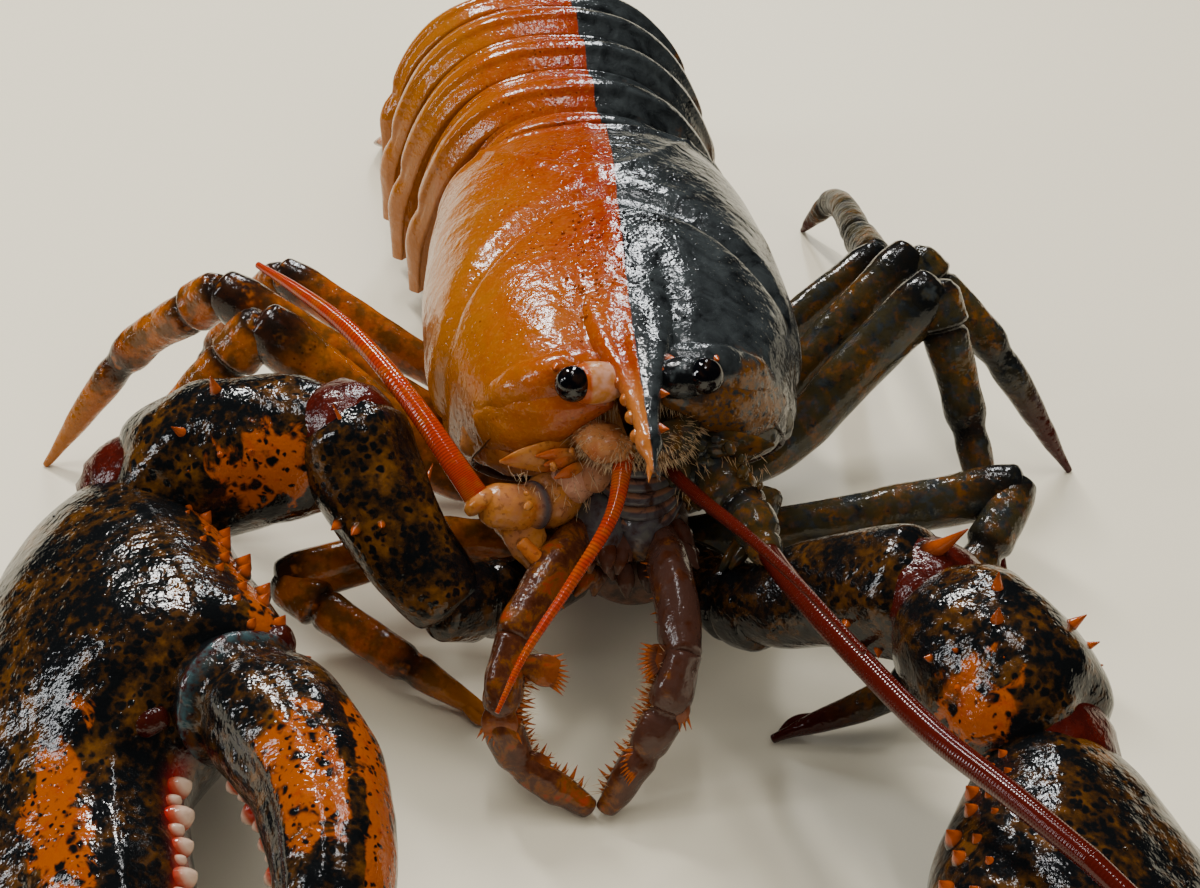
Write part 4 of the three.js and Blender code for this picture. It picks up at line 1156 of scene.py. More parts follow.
class LOBSTER_OT_feelers(bpy.types.Operator):
    """Builds the long feelers on their fat roots, their scales and the short feelers"""
    bl_idname = "lobster.feelers"
    bl_label = "Feelers"

    def execute(self, context):
        for name, side in SIDES:
            finish, slot, skin = ROOT_FINISH[name], SHELL_SLOT[name], FEELER_FINISH[name]
            root = tube(STEMS[name], ROOT_ROWS, 40, 70)
            root = marked(root, band=hump(root[2]["along"], 0.57, 0.05))
            collar = tube(Path(ANTENNA[f"antenna_{name}"][:2]).at([0.0, 0.22]), COLLAR_ROWS, 28, 10)
            scale = tube(mirrored(SCALE, side), SCALE_ROWS, 32, 36)
            scale = marked(scale, flush=hump(scale[2]["along"], 0.35, 0.12) * (scale[2]["around"] < -0.2))
            piece(f"antenna_root_{name}", join(root, collar, scale), finish, [f"antenna_base_{name}"])
            whip = ringed(ANTENNA[f"antenna_{name}"], ANTENNA_SIZES[f"antenna_{name}"])
            piece(f"antenna_{name}_whip", whip, skin, [f"antenna_{name}"])
            line = [(side * 4.6, 38, 49), (side * 3.8, 28, 48.6), ANTENNULE[name][0]]
            piece(f"antennule_foot_{name}", tube(line, SHORT_FOOT_ROWS, 24, 30), finish)
            whip = ringed(ANTENNULE[name], ANTENNULE_ROWS[name], 16)
            piece(f"antennule_{name}_whip", whip, skin, [f"antennule_{name}"])
        tip = ringed(ANTENNA["antenna_left_tip"], ANTENNA_SIZES["antenna_left_tip"])
        piece("antenna_left_tip_whip", tip, "feeler_dark", ["antenna_left_tip"])
        return {"FINISHED"}


# Mouth.

JAW = [(3.5, 38, 36), (3.5, 25, 32), (2.4, 21, 29)]
JAW_ROWS = [[0, 4.5, 6], [0.5, 4.5, 5.5], [1, 3, 3]]
PALPS = 44
PALP_ROWS = [[0, 1.3, 1.1], [0.5, 1.5, 0.9], [1, 0.4, 0.3]]
# Combs of the mouth legs: how many teeth, their length and where the comb starts.
COMB_END = 0.94
UPPER_COMB, LOWER_COMB = (12, 3.4, 0.4), (50, 3.8)
FRINGE_HAIRS = 130
MOUTH_LEG_UPPER_ROWS = [[0, 3.2, 4], [0.5, 3.6, 4.6], [0.9, 3.4, 4.2], [1, 3, 3.8]]
MOUTH_LEG_LOWER_ROWS = [
    [0, 2.8, 3.4], [0.25, 3.3, 4.4], [0.36, 3.0, 4.0], [0.41, 2.2, 3.0], [0.47, 2.9, 3.7],
    [0.66, 2.7, 3.5], [0.71, 2.1, 2.8], [0.76, 2.5, 3.3], [0.93, 2.0, 2.7], [1, 1.5, 2.0],
]
# Toothed plates at the joints of the mouth legs: root, way out, way across, length, half width.
MOUTH_PLATES = {
    "right": [
        [(-21, 1, 24.5), (1, -0.4, -0.15), (0, 0.6, 0.8), 6, 2.6],
        [(-24.5, -2, 20.5), (-0.1, -0.5, -1), (1, -0.3, 0), 6.5, 3],
        [(-21.5, -4.5, 10), (0.7, -0.5, -0.4), (0, 0.6, 0.8), 4.5, 2.2],
    ],
    "left": [
        [(3.5, 0, 25), (-1, -0.4, 0.1), (0, 0.6, 0.8), 5, 2.4],
        [(3.5, -3, 21.5), (-0.3, -0.6, -1), (1, -0.3, 0), 6, 2.8],
        [(-1, -7, 12), (-0.8, -0.5, -0.3), (0, 0.6, 0.8), 4.5, 2.2],
    ],
}


def mouth_plate(step):
    """One curved plate across the mouth, bowed forward and down in the middle: the lower, the narrower."""
    x, y, z, half = 0.8, 24.5 - step * 0.55, 43.5 - step * 2.5, 8.6 - step * 0.5
    line = [
        (x - half, y + 4.5, z + 1.6), (x - half * 0.5, y + 0.9, z + 0.32), (x, y, z),
        (x + half * 0.5, y + 0.9, z + 0.32), (x + half, y + 4.5, z + 1.6),
    ]
    plate = tube(line, scaled([[0, 0.7, 0.5], [0.5, 1.5, 1], [1, 0.7, 0.5]], 1.25), 20, 30)
    return marked(plate, rim=ease(0.5, 0.95, plate[2]["around"]))


def toothed_plate(root, aim, across, length, half):
    """A thin plate that ends in a row of teeth."""
    root, aim, across = vec(*root), unit(aim), unit(across)
    normal = np.cross(aim, across)
    rows = [[0, half * 0.5, 0.9], [0.6, half, 0.7], [1, half * 0.85, 0.35]]
    line = [root, root + aim * length * 0.5 + normal * 0.5, root + aim * length]
    plate = tube(line, rows, 28, 18, up=normal)
    parts = [marked(plate, comb=0.12 * ease(0.3, 0.9, plate[2]["along"]))]
    for i in range(9):
        reach = (i - 4) / 4
        start = root + aim * length * (0.98 - 0.14 * abs(reach)) + across * half * 0.85 * reach
        parts.append(spine(start, start + unit(aim + across * 0.6 * reach) * 2.3, 0.4, sides=8, mark="comb"))
    return join(*parts)


class LOBSTER_OT_mouth(bpy.types.Operator):
    """Builds the jaws, the plates over them and the outer mouth legs with their combs"""
    bl_idname = "lobster.mouth"
    bl_label = "Mouth"

    def execute(self, context):
        # The jaws sit a little right of the midline.
        jaws = [tube([(side * x - lean, y, z) for (x, y, z), lean in zip(JAW, (2, 2.5, 2.5))], JAW_ROWS, 40, 34)
                for side in (-1, 1)]
        jaws = lumpy(join(*jaws), (3.0, 4, 0.5))
        piece("jaws", join(jaws, *(mouth_plate(step) for step in range(6))), "mouth_plate", ["mouth"])
        draw = random.Random(5)
        palps = []
        for _ in range(PALPS):
            side = draw.choice((-1, 1))
            root = vec(side * draw.uniform(1.5, 9) - 0.5, draw.uniform(20, 25), draw.uniform(24, 33))
            aim = unit((side * draw.uniform(-0.2, 0.7), -0.7, draw.uniform(-1, -0.2)))
            line = [root, root + aim * 2.4 + vec(0, -0.6, 0), root + aim * 4.6 + vec(0, 0, -1)]
            palps.append(tube(line, PALP_ROWS, 12, 10))
        piece("small_jaw_legs", join(*palps), "mouth_leg")
        for name, out in SIDES:
            path, slot = MAXILLIPED[name], SHELL_SLOT[name]
            upper = lumpy(tube(path[:3], MOUTH_LEG_UPPER_ROWS, 32, 36), (3.5, 14, 0.35))
            lower = lumpy(tube(path[2:], MOUTH_LEG_LOWER_ROWS, 32, 70), (3.0, 15, 0.35))
            upper = join(upper, *self.comb(path[:3], out, *UPPER_COMB))
            plates = [toothed_plate(*row) for row in MOUTH_PLATES[name]]
            lower = join(lower, *self.comb(path[2:], out, *LOWER_COMB), *plates)
            piece(f"mouth_leg_{name}_upper", upper, "mouth_leg", [f"maxilliped_{name}_upper"])
            piece(f"mouth_leg_{name}_lower", lower, "mouth_leg", [f"maxilliped_{name}_lower"])
            self.fringe(f"mouth_leg_{name}_hair", path[2:], out, FRINGE_HAIRS)
        return {"FINISHED"}

    def inward(self, curve, t, out):
        """The way from a mouth leg towards the mouth."""
        return unit(np.cross(curve.way(t)[0], vec(0, -0.75, 0.6)) * out)

    def comb(self, path, out, count, length, first=0.1):
        """Two close rows of teeth along the inner edge of a mouth leg, from first to near its end."""
        curve = Path(path)
        teeth = []
        for i in range(count):
            t = first + (COMB_END - first) * i / (count - 1)
            aim = self.inward(curve, t, out)
            row = vec(0, 0.55, 0.45) if i % 2 else vec(0, -0.55, -0.45)
            root = curve.at(t)[0] + aim * (2.4 - 0.9 * t) + row
            reach = length * (0.75 + 0.25 * math.sin(i * 2.3)) * (1 - 0.3 * t)
            teeth.append(spine(root, root + unit(aim + row * 0.35) * reach, 0.5, sides=8, mark="comb"))
        return teeth

    def fringe(self, name, path, out, count):
        """Short hairs along the inner edge of a mouth leg."""
        draw = random.Random(17)
        curve = Path(path)
        roots, aims, lengths = [], [], []
        for _ in range(count):
            t = draw.uniform(0.05, 0.95)
            aim = self.inward(curve, t, out)
            stray = vec(*(draw.uniform(-1, 1) for _ in range(3)))
            roots.append(curve.at(t)[0] + aim * (2.0 - 0.9 * t) + stray)
            aims.append(aim + vec(draw.uniform(-0.5, 0.5), draw.uniform(-0.7, 0.2), draw.uniform(-0.5, 0.5)))
            lengths.append(draw.uniform(2.0, 4.2))
        piece(name, bristles(roots, aims, lengths, 0.1, 0.1, 18), "hair")


# Legs.

THIGH = [
    [0, 3.6, 4], [0.12, 4.0, 4.6], [0.2, 3.6, 4.0], [0.26, 3.9, 4.6], [0.8, 4.1, 5.1], [0.93, 4.5, 5.2],
    [1, 4.0, 4.5],
]
SHIN = [
    [0, 3.2, 3.4], [0.06, 4.0, 4.3], [0.24, 4.2, 4.5], [0.30, 4.3, 4.5], [0.335, 3.3, 3.5],
    [0.37, 3.8, 4.0], [0.6, 3.4, 3.6], [0.7, 3.5, 3.7], [0.735, 2.7, 2.9], [0.77, 2.9, 3.1],
    [0.9, 1.9, 2.0], [1, 0.7, 0.7],
]
FOOT_JOINTS = (0.33, 0.73)
NIP_ROWS = [[0, 1.1, 1.1], [0.6, 0.9, 0.9], [1, 0.25, 0.25]]


def nip(knee, shin, tip):
    """The small second finger beside the end of a pincer leg."""
    curve = Path([knee, shin, tip])
    way = curve.way(0.9)[0]
    aside = unit(np.cross(way, UP))
    line = [curve.at(0.84)[0] + aside * 0.6, curve.at(0.92)[0] + aside * 1.9, tip + aside * 0.5 - way * 0.6]
    finger = tube(line, NIP_ROWS, 14, 16)
    return marked(finger, along=0.9 + 0.1 * finger[2]["along"], foot=1)


class LOBSTER_OT_legs(bpy.types.Operator):
    """Builds the eight walking legs"""
    bl_idname = "lobster.legs"
    bl_label = "Walking legs"

    def execute(self, context):
        for name, _ in SIDES:
            for index, points in enumerate(LEGS[name]):
                self.leg(name, index, points)
        return {"FINISHED"}

    def leg(self, name, index, points):
        """One walking leg in two pieces, its foot ringed at the joints."""
        node = f"leg_{name}_{index + 1}"
        finish, slot = LEG_FINISH[name], SHELL_SLOT[name]
        root, hip, knee, shin, tip = (vec(*p) for p in points)
        thigh = tube([root, hip, (hip + knee) / 2, knee], scaled(THIGH, LEG_SCALE[index]), 28, 60)
        thigh = marked(thigh, band=ease(0.8, 0.95, thigh[2]["along"]))
        line = [knee + (knee - shin) * 0.02, knee + (shin - knee) * 0.35, shin, tip]
        foot = tube(line, scaled(SHIN, LEG_SCALE[index]), 28, 90)
        along = foot[2]["along"]
        bands = [1 - ease(0.02, 0.1, along)] + [hump(along, joint, 0.05) for joint in FOOT_JOINTS]
        foot = lumpy(marked(foot, band=np.maximum.reduce(bands), foot=1), (4, 62, 0.2))
        if index < PINCER_PAIRS:
            foot = join(foot, nip(knee, shin, tip))
        piece(node + "_thigh", lumpy(thigh, (5, 61, 0.25)), finish, [node + "_upper"])
        piece(node + "_shin", foot, "leg_dull" if node == DULL_LEG else finish, [node + "_lower"])


# Claws.

HIP_ROWS = [[0, 5.5, 5.5], [0.5, 6.5, 6.5], [0.62, 6.9, 7], [0.68, 6.1, 6.2], [0.76, 6.9, 7], [1, 6.6, 6.8]]
MERUS_ROWS = [
    [0, 6.2, 6.6], [0.15, 7.2, 7.8], [0.4, 8, 9], [0.8, 9.5, 10.5], [0.93, 9.6, 10.6], [1, 8.4, 9.2],
]
CARPUS_ROWS = [
    [0, 8.2, 8.2], [0.1, 10.8, 10.8], [0.3, 13, 13], [0.7, 14, 13.5], [0.9, 12.8, 12.4], [1, 10.6, 10.2],
]
ELBOW_ROWS = [[0, 8.4, 8.8], [0.5, 8.9, 9], [1, 8.6, 8.6]]
CUFF_ROWS = [[0, 9.4, 9.2], [0.5, 9.8, 9.4], [1, 9.4, 8.8]]

MERUS_SPINE_WIDTH = 0.66
MERUS_THORNS, WRIST_THORNS = 7, 8

PALM_RINGS, PALM_SIDES = 190, 150
PALM_ENDS = np.radians([78, 60, 40, 20])
# Knobs in a band along the palm's inner edge: their angles round it and sizes, in turn.
EDGE_KNOBS, EDGE_KNOB_STEP = 22, 2.05
EDGE_KNOB_BENDS, EDGE_KNOB_SIZES = (0.02, 0.3, 0.14, 0.42), (1.8, 1.25, 1.55, 1.1)
PALM_BEADS = 36
# The two dark lobes of the hinge [distance along the palm, angle round it, size].
HINGE_LOBES = [[46, -0.05, 4.4], [57, 0.6, 3.4]]
LOBE_ROWS = [[0, 0.5, 0.5], [0.5, 0.8, 0.75], [1, 0.5, 0.5]]
# Teeth start this far along the palm and end this far short of its tip.
TEETH_FROM, TEETH_SHORT_OF_TIP = 63, 9
TOOTH_SHARES = (0.72, 0.5, 0.86, 0.55)


class Hand:
    """One claw's palm and moving finger, in the hand's own directions: along it, inward and up."""

    def __init__(self, name):
        arm, hand = ARMS[name], HANDS[name]
        self.wrist, self.along = vec(*arm["wrist"]), unit(arm["along"])
        inward = vec(*arm["inward"])
        self.inward = unit(inward - self.along * inward.dot(self.along))
        up = np.cross(self.along, self.inward)
        self.up = -up if up[2] < 0 else up
        self.rows, self.length = hand["palm"], hand["palm"][-1][0]
        self.finger_rows = hand["finger_sizes"]
        self.finger_path = Path([
            self.wrist + self.along * far + self.inward * across + self.up * high
            for far, across, high in hand["finger"]
        ])
        self.teeth_count, self.tooth_size = hand["teeth"] * 2, hand["tooth"]

    def out(self, bend):
        """The way out of the palm at an angle up round it from its inner edge."""
        return unit(self.inward * math.cos(bend) + self.up * math.sin(bend))

    def on_palm(self, far, bend, lift=0.0):
        """The point of the palm at a distance along it and an angle round it."""
        centre, wide, thick = read(self.rows, far)[:, 0]
        across = self.inward * (centre + (wide + lift) * math.cos(bend))
        return self.wrist + self.along * far + across + self.up * (thick + lift) * math.sin(bend)

    def palm(self, right):
        """The palm and its fixed finger in one, with its colour fields."""
        angle = np.arange(PALM_SIDES) * TURN / PALM_SIDES
        distance, shrink, push = rounded(np.linspace(0, self.length, PALM_RINGS), PALM_ENDS)
        push[:len(PALM_ENDS)] *= 1.5
        centre, wide, thick = read(self.rows, distance)
        reach = centre[:, None] + squared(np.cos(angle), 0.9) * (wide * shrink)[:, None]
        lift = squared(np.sin(angle), 0.95) * (thick * shrink)[:, None]
        line = self.wrist + self.along * (distance + push)[:, None, None]
        grid = line + self.inward * reach[..., None] + self.up * lift[..., None]
        away, turn = distance[:, None], np.where(angle > math.pi, angle - TURN, angle)[None, :]
        bright = 0.62 * hump(away, 72, 20) * hump(turn, 1.3, 0.42)
        if right:
            bright = bright + 0.5 * hump(turn, 0.2, 0.2) * (away < 50)
        bright = bright + 0.3 * (np.abs(turn) > 2.6) * ease(20, 60, away)
        gum = hump(turn, 0, 0.13) * ease(58, 64, away)
        # Two long low ridges down the back of the hand, and lumps all over.
        ridges = 0.7 * hump(turn, 0.75, 0.13) + 0.6 * hump(turn, 2.1, 0.16)
        waves = grain(grid, 12, 8) * 0.7 + grain(grid, 4, 9) * 0.2
        height = ridges * np.sin(math.pi * np.clip(away / 110, 0, 1)) + waves
        surface = sheet(grid, bright=bright, gum=gum, along=away / self.length)
        return raised(surface, np.append(height.reshape(-1), [0, 0]))

    def knobs(self):
        """Knobs along the inner edge, then tiny beads over the back of the hand."""
        made = []
        way = unit(self.inward + self.up * 0.5 - self.along * 0.1)
        for i in range(EDGE_KNOBS):
            size = EDGE_KNOB_SIZES[i % 4] * sizes().knobs
            root = self.on_palm(3 + i * EDGE_KNOB_STEP, EDGE_KNOB_BENDS[i % 4], -0.3)
            made.append(spine(root, root + way * size * 1.6, size, sides=16))
        draw = random.Random(4)
        for _ in range(PALM_BEADS):
            far, bend, size = draw.uniform(6, 100), draw.uniform(0.2, 2.6), draw.uniform(0.3, 0.6)
            made.append(bead(self.on_palm(far, bend), self.out(bend) * size, size))
        return made

    def hinge(self):
        """Two dark lobes where the finger turns, and an orange knob."""
        scale = self.rows[4][2] / 28
        made = []
        for far, bend, size in HINGE_LOBES:
            size *= scale
            spot, half = self.on_palm(far, bend, -size * 0.55), self.inward * size * 0.9
            lobe = tube([spot - half, spot + self.up * 0.6, spot + half], scaled(LOBE_ROWS, size), 28, 20)
            made.append(marked(lobe, gum_dark=1))
        root = self.on_palm(44.5, -0.42, -0.3)
        made.append(spine(root, root + self.out(-0.3) * 3.2, 1.7 * sizes().knobs, sides=16))
        return made

    def finger(self):
        """The moving finger, with its colour fields and its neck."""
        surface = tube(self.finger_path, self.finger_rows, 96, 150, up=self.up, bulge=0.2)
        share = surface[2]["along"]
        wide, thick = read(self.finger_rows, share)
        offset = (surface[0] - self.finger_path.at(share)) @ self.inward / wide
        top = (surface[0] - self.finger_path.at(share)) @ self.up / thick
        back = 0.58 * hump(share, 0.45, 0.2) * ease(0.35, 0.75, top) * ease(-0.6, -0.1, offset)
        outer_edge = 0.62 * ease(0.82, 0.97, offset) * ease(0.2, 0.3, share)
        # A neck of pale skin where the finger leaves the palm, with a dark collar after it.
        neck = hump(share, 0.08, 0.018)
        collar = hump(share, 0.13, 0.03) - neck
        gum = ease(0.86, 0.98, -offset) * ease(0.26, 0.34, share)
        surface = marked(surface, bright=back + outer_edge, skin=neck, gum=gum)
        ridges = (0.5 * hump(offset, -0.45, 0.12) + 0.45 * hump(offset, 0.6, 0.12)) * (top > 0)
        waves = grain(surface[0], 7, 12) * 0.45 + grain(surface[0], 3, 13) * 0.12
        return raised(surface, waves + ridges + collar)

    def teeth(self):
        """The teeth of the palm and those of the finger, smaller towards the tips."""
        on_palm, on_finger = [], []
        for i in range(self.teeth_count):
            share = (i + 0.5) / self.teeth_count
            size = self.tooth_size * (1 - 0.45 * share) * TOOTH_SHARES[i % 4] * sizes().teeth
            lean = self.up * (0.35 if i % 2 else -0.1)
            far = TEETH_FROM + (self.length - TEETH_SHORT_OF_TIP - TEETH_FROM) * share
            centre, wide, _ = read(self.rows, far)[:, 0]
            root = self.wrist + self.along * far + self.inward * (centre + wide * 0.97) + lean * size
            on_palm.append(tooth(root, root + unit(self.inward + lean * 0.4) * size * 1.6, size, self.along))
            far = 0.28 + 0.67 * share
            half = read(self.finger_rows, far)[0, 0]
            root = self.finger_path.at(far)[0] - self.inward * half * 0.95 + lean * size
            on_finger.append(tooth(root, root - unit(self.inward - lean * 0.4) * size * 1.6, size, self.along))
        return on_palm, on_finger


class LOBSTER_OT_claws(bpy.types.Operator):
    """Builds both claw arms: hip, upper arm, wrist, palm and moving finger"""
    bl_idname = "lobster.claws"
    bl_label = "Claws"

    def execute(self, context):
        for name, side in SIDES:
            arm, hand = ARMS[name], Hand(name)
            draw = random.Random(9)
            hip = lumpy(tube(arm["hip"], HIP_ROWS, 40, 44), (4, 71, 0.35))
            upper, wrist = self.upper_arm(name, draw), self.wrist(name, side, draw)
            palm_teeth, finger_teeth = hand.teeth()
            palm = join(hand.palm(side < 0), *hand.knobs(), *hand.hinge(), *palm_teeth)
            finger = join(hand.finger(), *finger_teeth)
            for part, node, surface in (
                ("hip_shell", "hip", hip), ("upper_arm", "merus", upper), ("wrist", "carpus", wrist),
                ("joint_skin", None, self.joint_skin(arm, hand)),
                ("palm_shell", "palm", palm), ("finger_shell", "finger", finger),
            ):
                finish, nodes = ("claw", [f"claw_{name}_{node}"]) if node else ("red_skin", [])
                piece(f"claw_{name}_{part}", surface, finish, nodes)
        return {"FINISHED"}

    def upper_arm(self, name, draw):
        """The merus with its large spines, and small ones scattered over its front."""
        path = Path(ARMS[name]["merus"])
        parts = [lumpy(tube(path, MERUS_ROWS, 80, 70), (6, 72, 0.5))]
        for root, tip, radius in MERUS_SPINES[name]:
            parts.append(spine(root, tip, radius * MERUS_SPINE_WIDTH, (0, 0, -0.9), 18))
        for _ in range(MERUS_THORNS):
            t = draw.uniform(0.55, 0.95)
            out = unit(vec(draw.uniform(-1, 1), -1, draw.uniform(-0.6, 0.5)))
            root = path.at(t)[0] + out * 9.2
            parts.append(spine(root, root + out * 2.2, draw.uniform(0.8, 1.2) * sizes().knobs, sides=12))
        return join(*parts)

    def wrist(self, name, side, draw):
        """The carpus with its lobes, its rows of spines and small ones scattered over its back."""
        path, scale = Path(ARMS[name]["carpus"]), ARMS[name]["carpus_scale"]
        middle, end, before_end = path.at([0.5, 0.92, 0.9])
        shell = tube(path, scaled(CARPUS_ROWS, scale), 110, 90)
        lobes = patches(
            shell[0], (end + vec(side * 7, -3, 9), 6, 2.2), (before_end + vec(-side * 3, -9, 6), 5, 1.2),
        )
        shell = raised(shell, grain(shell[0], 8, 3) * 0.8 + grain(shell[0], 3, 4) * 0.18 + lobes)
        front = middle + unit((-side * 0.5, -1, 0.35)) * 12
        parts = [marked(shell, bright=patches(shell[0], (front, 11, 0.6 if side < 0 else 0.5)))]
        for way in CARPUS_SPINES[name]:
            root = middle + vec(*way) * 0.97
            tip = root + (unit(way) + vec(0, 0, 0.15)) * 3.4
            parts.append(spine(root, tip, 1.45 * sizes().knobs, (0, 0.3, -0.4), 16))
        for _ in range(WRIST_THORNS):
            out = unit(vec(side * draw.uniform(-0.9, 0.9), draw.uniform(-1, 0.1), draw.uniform(0, 1)))
            root = middle + out * 12.4
            parts.append(spine(root, root + out * 1.5, draw.uniform(0.5, 0.9) * sizes().knobs, sides=10))
        return join(*parts)

    def joint_skin(self, arm, hand):
        """Dark red skin between upper arm and wrist, and between wrist and palm."""
        upper, wrist = Path(arm["merus"]), Path(arm["carpus"])
        elbow = tube([*upper.at([0.9, 1]), wrist.at(0.1)[0]], ELBOW_ROWS, 48, 20)
        cuff = tube([*wrist.at([0.88, 1]), hand.wrist + hand.along * 3], CUFF_ROWS, 48, 20)
        return lumpy(join(elbow, cuff), (2.2, 73, 0.4))


# Face.

MOUND = [(8.2, 27, 50.5), (5, 22.8, 50.2), (2.2, 21.5, 49.6)]
# Pads of each half of the face, as on the left: path, sizes, sides, rings and how pale the pad is.
PADS = [
    # Between the shell's edge and the feeler's root.
    ([(26, 38.5, 42), (17.5, 33, 44), (8, 30.5, 47)], [[0, 3.4, 4], [0.45, 5.2, 5.4], [1, 4.6, 4.6]], 36, 30, 0),
    # The mound under the beak.
    (MOUND, [[0, 2.6, 2.6], [0.5, 3.6, 3.0], [1, 2.4, 2.2]], 32, 26, 0.2),
    # Knuckles behind the root.
    (
        [(9.5, 30, 42), (10.3, 26.5, 40.6), (11, 24.6, 39.4)], [[0, 3.4, 3.6], [0.6, 3.6, 3.6], [1, 2.6, 2.6]],
        28, 20, 0.9,
    ),
    ([(6.2, 30, 43), (6.6, 26, 42.6), (7, 24, 41.2)], [[0, 2.8, 3.2], [0.6, 2.7, 3.2], [1, 1.8, 2]], 24, 20, 0.6),
    # The cone below the root.
    ([(20, 24.5, 37), (19, 21.5, 34), (17, 18.6, 30.5)], [[0, 4.2, 3.6], [0.5, 3.8, 3.2], [1, 2.0, 1.8]], 32, 26, 0),
]
# Petals beside the feeler's root and palps below it: root, tip and size.
PETALS = [
    ((9.5, 26, 46), (15.2, 23.2, 46.6), 1.5), ((8.6, 25.4, 44.6), (13.6, 22.8, 44.2), 1.3),
    ((10.5, 25, 47.4), (16.5, 23.6, 48.2), 1.1),
]
FACE_PALPS = [((19.5, 17.6, 35.5), (14.2, 14.2, 30), 1.25), ((16.6, 18.4, 33), (12.6, 15.6, 28), 1.0)]
# How many beads each half of the face has, and their smallest and largest size.
FACE_BEADS = {"right": (14, 0.35, 0.7), "left": (50, 0.5, 1.1)}
MOUND_HAIRS, BROW_HAIRS, ROOT_HAIRS = 520, 70, 90


class LOBSTER_OT_face(bpy.types.Operator):
    """Fills the face below the eyes with its pads, petals and hanging palps, and adds its hair"""
    bl_idname = "lobster.face"
    bl_label = "Face"

    def execute(self, context):
        for name, side in SIDES:
            pads = [
                marked(tube(mirrored(path, side), rows, sides, rings), pale=pale)
                for path, rows, sides, rings, pale in PADS
            ]
            pads = lumpy(join(*pads), (2.6, 41, 0.45), (1.1, 42, 0.16))
            surface = join(pads, *self.petals(side), *self.beads(name, side))
            piece(f"face_{name}", surface, FACE_FINISH[name])
        self.hair()
        return {"FINISHED"}

    def petals(self, side):
        """The petals and hanging palps of one half."""
        made = []
        for root, tip, size in PETALS:
            root, tip = mirrored([root, tip], side)
            petal = tube(
                [root, (vec(*root) + tip) / 2 + vec(0, -0.8, 0.6), tip],
                [[0, 0.6, size * 0.7], [0.5, 0.5, size], [1, 0.2, 0.25]], 16, 16,
            )
            made.append(marked(petal, flush=ease(0.15, 0.6, petal[2]["along"]) * 0.9))
        for root, tip, size in FACE_PALPS:
            root, tip = mirrored([root, tip], side)
            palp = tube(
                [root, (vec(*root) + tip) / 2 + vec(0, -0.6, 0.5), tip],
                [[0, size, size], [0.6, size, size], [1, 0.4, 0.4]], 16, 16,
            )
            made.append(marked(palp, flush=0.35))
        return made

    def beads(self, name, side):
        """Tiny knobs scattered over one half."""
        draw = random.Random(31 + side)
        count, least, most = FACE_BEADS[name]
        made = []
        for _ in range(count):
            x, z = draw.uniform(3, 19), draw.uniform(35, 50)
            y = 28.6 - 0.028 * x * x - 0.16 * abs(z - 44) + draw.uniform(-1.5, 0.4)
            size = draw.uniform(least, most)
            way = unit((side * draw.uniform(-1, 1), -1, draw.uniform(-0.8, 0.6)))
            made.append(bead(vec(side * x, y, z), way * size * 1.6, size))
        return made

    def hair(self):
        """Fine hairs on the mound, under the brow and round the feelers' roots."""
        draw = random.Random(7)
        roots, aims, lengths = [], [], []
        for side in (-1, 1):
            mound = Path(mirrored(MOUND, side))
            for _ in range(MOUND_HAIRS):
                out = unit(vec(draw.gauss(0, 1), -abs(draw.gauss(0.5, 0.8)), draw.gauss(0, 1)))
                roots.append(mound.at(draw.uniform(0, 1))[0] + out * 2.7)
                aims.append(out + vec(side * 0.2, -0.4, -0.35))
                lengths.append(draw.uniform(1.0, 2.4))
            for _ in range(BROW_HAIRS):
                x = draw.uniform(3, 13)
                roots.append(vec(side * x, 26.2 + 0.02 * x * x, 56.4 - 0.16 * x))
                aims.append(vec(side * draw.uniform(-0.2, 0.5), -1, draw.uniform(-1.2, -0.3)))
                lengths.append(draw.uniform(1.5, 3.4))
            for _ in range(ROOT_HAIRS):
                x = draw.uniform(6, 21)
                roots.append(vec(side * x, draw.uniform(21.5, 25.5), draw.uniform(38, 47)))
                aims.append(vec(side * draw.uniform(-0.4, 0.7), -0.8, draw.uniform(-1, 0.4)))
                lengths.append(draw.uniform(1.2, 2.8))
        piece("face_hair", bristles(roots, aims, lengths, 0.09, 0.12), "hair")


# Stage.

CAMERA_AT = vec(-33, -236, 236)
CAMERA_PITCH = 35.5
CAMERA_TURN = -5.9
SENSOR_WIDTH = 36
FLOOR_HALF = 4
FLOOR_ROUGHNESS = 0.55
SKY_COLOUR = (0.86, 0.9, 0.95, 1)
# Lights: name, place, size, power as a share of the key power, tint, and whether glossy things show them.
# The wide ones only shade, and the narrow ones give the wet shell its glints.
LIGHTS = [
    ("key_light", (-0.35, 0.75, 0.95), (0.09, 0.32), 1, (1, 0.98, 0.95), True),
    ("window_light", (0.22, 1.1, 0.8), (0.06, 0.5), 0.6, (0.95, 0.98, 1), True),
    ("top_light", (0.1, 0.1, 1.5), (1.6, 1.6), 1.35, (1, 0.97, 0.91), False),
    ("top_strip", (0.0, 0.25, 1.3), (0.06, 0.5), 0.35, (1, 1, 1), True),
    ("side_strip", (-1.1, 0.0, 0.6), (0.08, 0.7), 0.5, (0.95, 0.98, 1), True),
    ("front_fill", (0.5, -1.2, 0.9), (0.7, 0.7), 0.7, (1, 0.96, 0.9), False),
]


